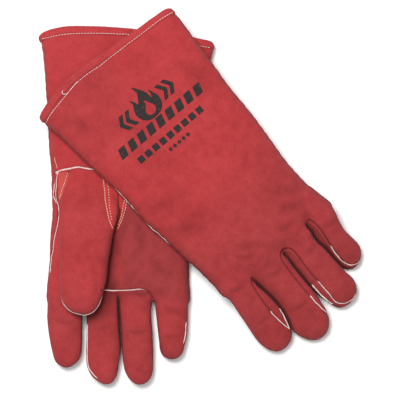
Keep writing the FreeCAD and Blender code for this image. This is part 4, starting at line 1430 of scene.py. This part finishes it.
extra(RIGHT, "thumb_tip_welt", v, f, WELTING, "thumb")


# a mark in worn black ink on the cuff: a flame over plain warning bands
MARK_AT = np.array((44.0, 6.5))
MARK_A = np.array((-0.061, 0.998))
MARK_B = np.array((-0.998, -0.061))


def mark(points):
    return np.array([MARK_AT + 1.12 * a * MARK_A + (1.12 * b + 1.8) * MARK_B for a, b in points])


FLAME = [(0, -15), (5.5, -14.2), (10, -10.8), (12, -5.2), (11.2, 0.6), (8.8, 5.6), (8.5, 1.8), (6.8, -0.6),
         (6.2, 4.6), (3.6, 10.2), (-0.6, 15.5), (0.0, 9.8), (-2.2, 5.6), (-5.0, 1.8), (-6.4, 5.4), (-8.9, 8.6),
         (-8.5, 4.2), (-10.8, 0.2), (-12, -4.8), (-10.2, -10.6), (-5.6, -14.2)]
CORE = [(0, -12.0), (3.6, -10.6), (4.8, -7), (3.0, -3.2), (0.6, 1.4), (-0.6, -2.6), (-3.2, -5.4), (-4.4, -8.4),
        (-3, -11.2)]
shapes = [(catmull(mark(FLAME), 0.8, True), [catmull(mark(CORE), 0.8, True)])]
for s in (1, -1):
    for shift in (0, 6.4):
        shapes.append((mark([(s * (13.6 + shift), -10), (s * (17.4 + shift), -10), (s * (21.8 + shift), -3.0),
                             (s * (17.4 + shift), 4.0), (s * (13.6 + shift), 4.0), (s * (17.8 + shift), -3.0)]), []))
for k in range(9):
    a0 = -44.0 + 9.9 * k
    shapes.append((mark([(a0, -24.6), (a0 + 6.6, -24.6), (a0 + 9.0, -15.9), (a0 + 2.4, -15.9)]), []))
for k in range(9):
    a0 = -34.5 + 7.7 * k
    shapes.append((mark([(a0, -36.8), (a0 + 5.4, -36.8), (a0 + 5.4, -31.2), (a0, -31.2)]), []))
for k in range(5):
    a0 = -8.4 + 4.6 * k
    shapes.append((mark([(a0, -45.0), (a0 + 1.9, -43.0), (a0, -41.0), (a0 - 1.9, -43.0)]), []))
parts = []
for outline, holes in shapes:
    v, f = sheet_on(LEFT, outline, 0.2, 0.9, True, holes)
    parts.append((v, f))
v, f = joined(parts)
extra(LEFT, "cuff_ink_mark", v, f, PRINT, "hand")


# loose ends of thread: the back-tack at the left hem and a tail on the right cuff
def loose(g, name, line, mat, radius=0.36, lifts=None):
    c = catmull([(q[0], q[1]) for q in line], 0.8)
    p, n = on_surface(g, c, True, 0.0)
    k = np.linspace(0, 1, len(p))
    up = np.interp(k, np.linspace(0, 1, len(lifts)), lifts)
    p = p + n * (radius * 0.8 + up)[:, None]
    t = np.gradient(p, axis=0)
    t /= np.linalg.norm(t, axis=1)[:, None]
    b = np.cross(t, n)
    b /= np.linalg.norm(b, axis=1)[:, None]
    m = 8
    v = []
    for i in range(len(p)):
        r = radius * (1 if 0 < i < len(p) - 1 else 0.35)
        nn = np.cross(b[i], t[i])
        for j in range(m):
            a = 2 * math.pi * j / m + 0.7 * i
            v.append(p[i] + r * (math.cos(a) * b[i] + math.sin(a) * nn) * (1 + 0.12 * math.cos(2 * a)))
    f = [(i * m + j, i * m + (j + 1) % m, (i + 1) * m + (j + 1) % m, (i + 1) * m + j)
         for i in range(len(p) - 1) for j in range(m)]
    f += [(0, 3, 2, 1), (0, 5, 4, 3), (0, 7, 6, 5)]
    e = (len(p) - 1) * m
    f += [(e, e + 1, e + 2, e + 3), (e, e + 3, e + 4, e + 5), (e, e + 5, e + 6, e + 7)]
    return extra(g, name, np.array(v), np.array(f), mat, "hand")


stitches(LEFT, "hem_back_tack", [[(-7.0, -40.8), (-8.0, -36.4), (-9.0, -31.2)]], WHITE_THREAD, "hand", True,
         2.5, 2.2, 0.36, seed=41, offset=0.25)
loose(LEFT, "hem_thread_tail", [(-6.6, -43.2), (-6.0, -45.4), (-7.4, -48.0), (-9.6, -48.2), (-10.6, -46.4)],
      WHITE_THREAD, 0.32, (0.0, 0.3, 0.9, 0.6, 0.2))
loose(RIGHT, "wrist_thread_tail", [(119.4, -60.0), (122.0, -59.8), (125.4, -58.6), (129.6, -57.6)],
      PEACH_THREAD, 0.28, (0.1, 0.4, 0.3, 0.3))


# -------------------------------------------------------- floor, light, camera
def floor_material():
    mat, t, bsdf = node_tree("paper_floor")
    at = add(t, "ShaderNodeTexCoord").outputs["Object"]
    f = noise_node(t, at, 40.0, 2.0)
    t.links.new(blended(t, f, (0.905, 0.905, 0.905, 1), (0.915, 0.915, 0.915, 1)), bsdf.inputs["Base Color"])
    bsdf.inputs["Roughness"].default_value = 0.9
    bsdf.inputs["Specular IOR Level"].default_value = 0.1
    # the sweep stays pale beyond the lamps' reach
    far = add(t, "ShaderNodeVectorMath", operation="LENGTH")
    t.links.new(at, far.inputs[0])
    bsdf.inputs["Emission Color"].default_value = (1.0, 1.0, 1.0, 1.0)
    t.links.new(mapped(t, far.outputs["Value"], 0.9, 3.4, 0.0, 0.66), bsdf.inputs["Emission Strength"])
    return mat


bpy.ops.mesh.primitive_plane_add(size=14.0, location=(0, 0, 0))
floor = bpy.context.object
floor.name = "floor"
floor.data.materials.append(floor_material())

scene = bpy.context.scene
world = bpy.data.worlds.new("studio")
scene.world = world
world.use_nodes = True
wt = world.node_tree
sky = wt.nodes["Background"]
sky.inputs[0].default_value = (1.0, 1.0, 1.0, 1)
sky.inputs[1].default_value = 0.31
backdrop = wt.nodes.new("ShaderNodeBackground")
backdrop.inputs[0].default_value = (1.0, 1.0, 1.0, 1)
backdrop.inputs[1].default_value = 0.93
seen = wt.nodes.new("ShaderNodeLightPath")
either = wt.nodes.new("ShaderNodeMixShader")
wt.links.new(seen.outputs["Is Camera Ray"], either.inputs[0])
wt.links.new(sky.outputs[0], either.inputs[1])
wt.links.new(backdrop.outputs[0], either.inputs[2])
wt.links.new(either.outputs[0], wt.nodes["World Output"].inputs["Surface"])


def area(name, where, target, size, power):
    light = bpy.data.lights.new(name, "AREA")
    light.shape = "DISK"
    light.size = size
    light.energy = power
    ob = bpy.data.objects.new(name, light)
    scene.collection.objects.link(ob)
    ob.location = where
    ob.rotation_euler = (Vector(target) - Vector(where)).to_track_quat("-Z", "Y").to_euler()
    return ob


area("key", (-0.37, 0.50, 1.72), (0, 0, 0), 0.62, 31.0)
area("top", (0.0, 0.0, 1.9), (0, 0, 0), 1.1, 12.0)

cam = bpy.data.cameras.new("camera")
cam.lens = 200.0
cam.sensor_width = 36.0
cam.clip_end = 50.0
camera = bpy.data.objects.new("camera", cam)
scene.collection.objects.link(camera)
camera.location = (0.0002, -0.00346, 0.02 + 0.3688 * 200.0 / 36.0)
camera.rotation_euler = (0, 0, 0)
scene.camera = camera
scene.view_settings.view_transform = "Standard"
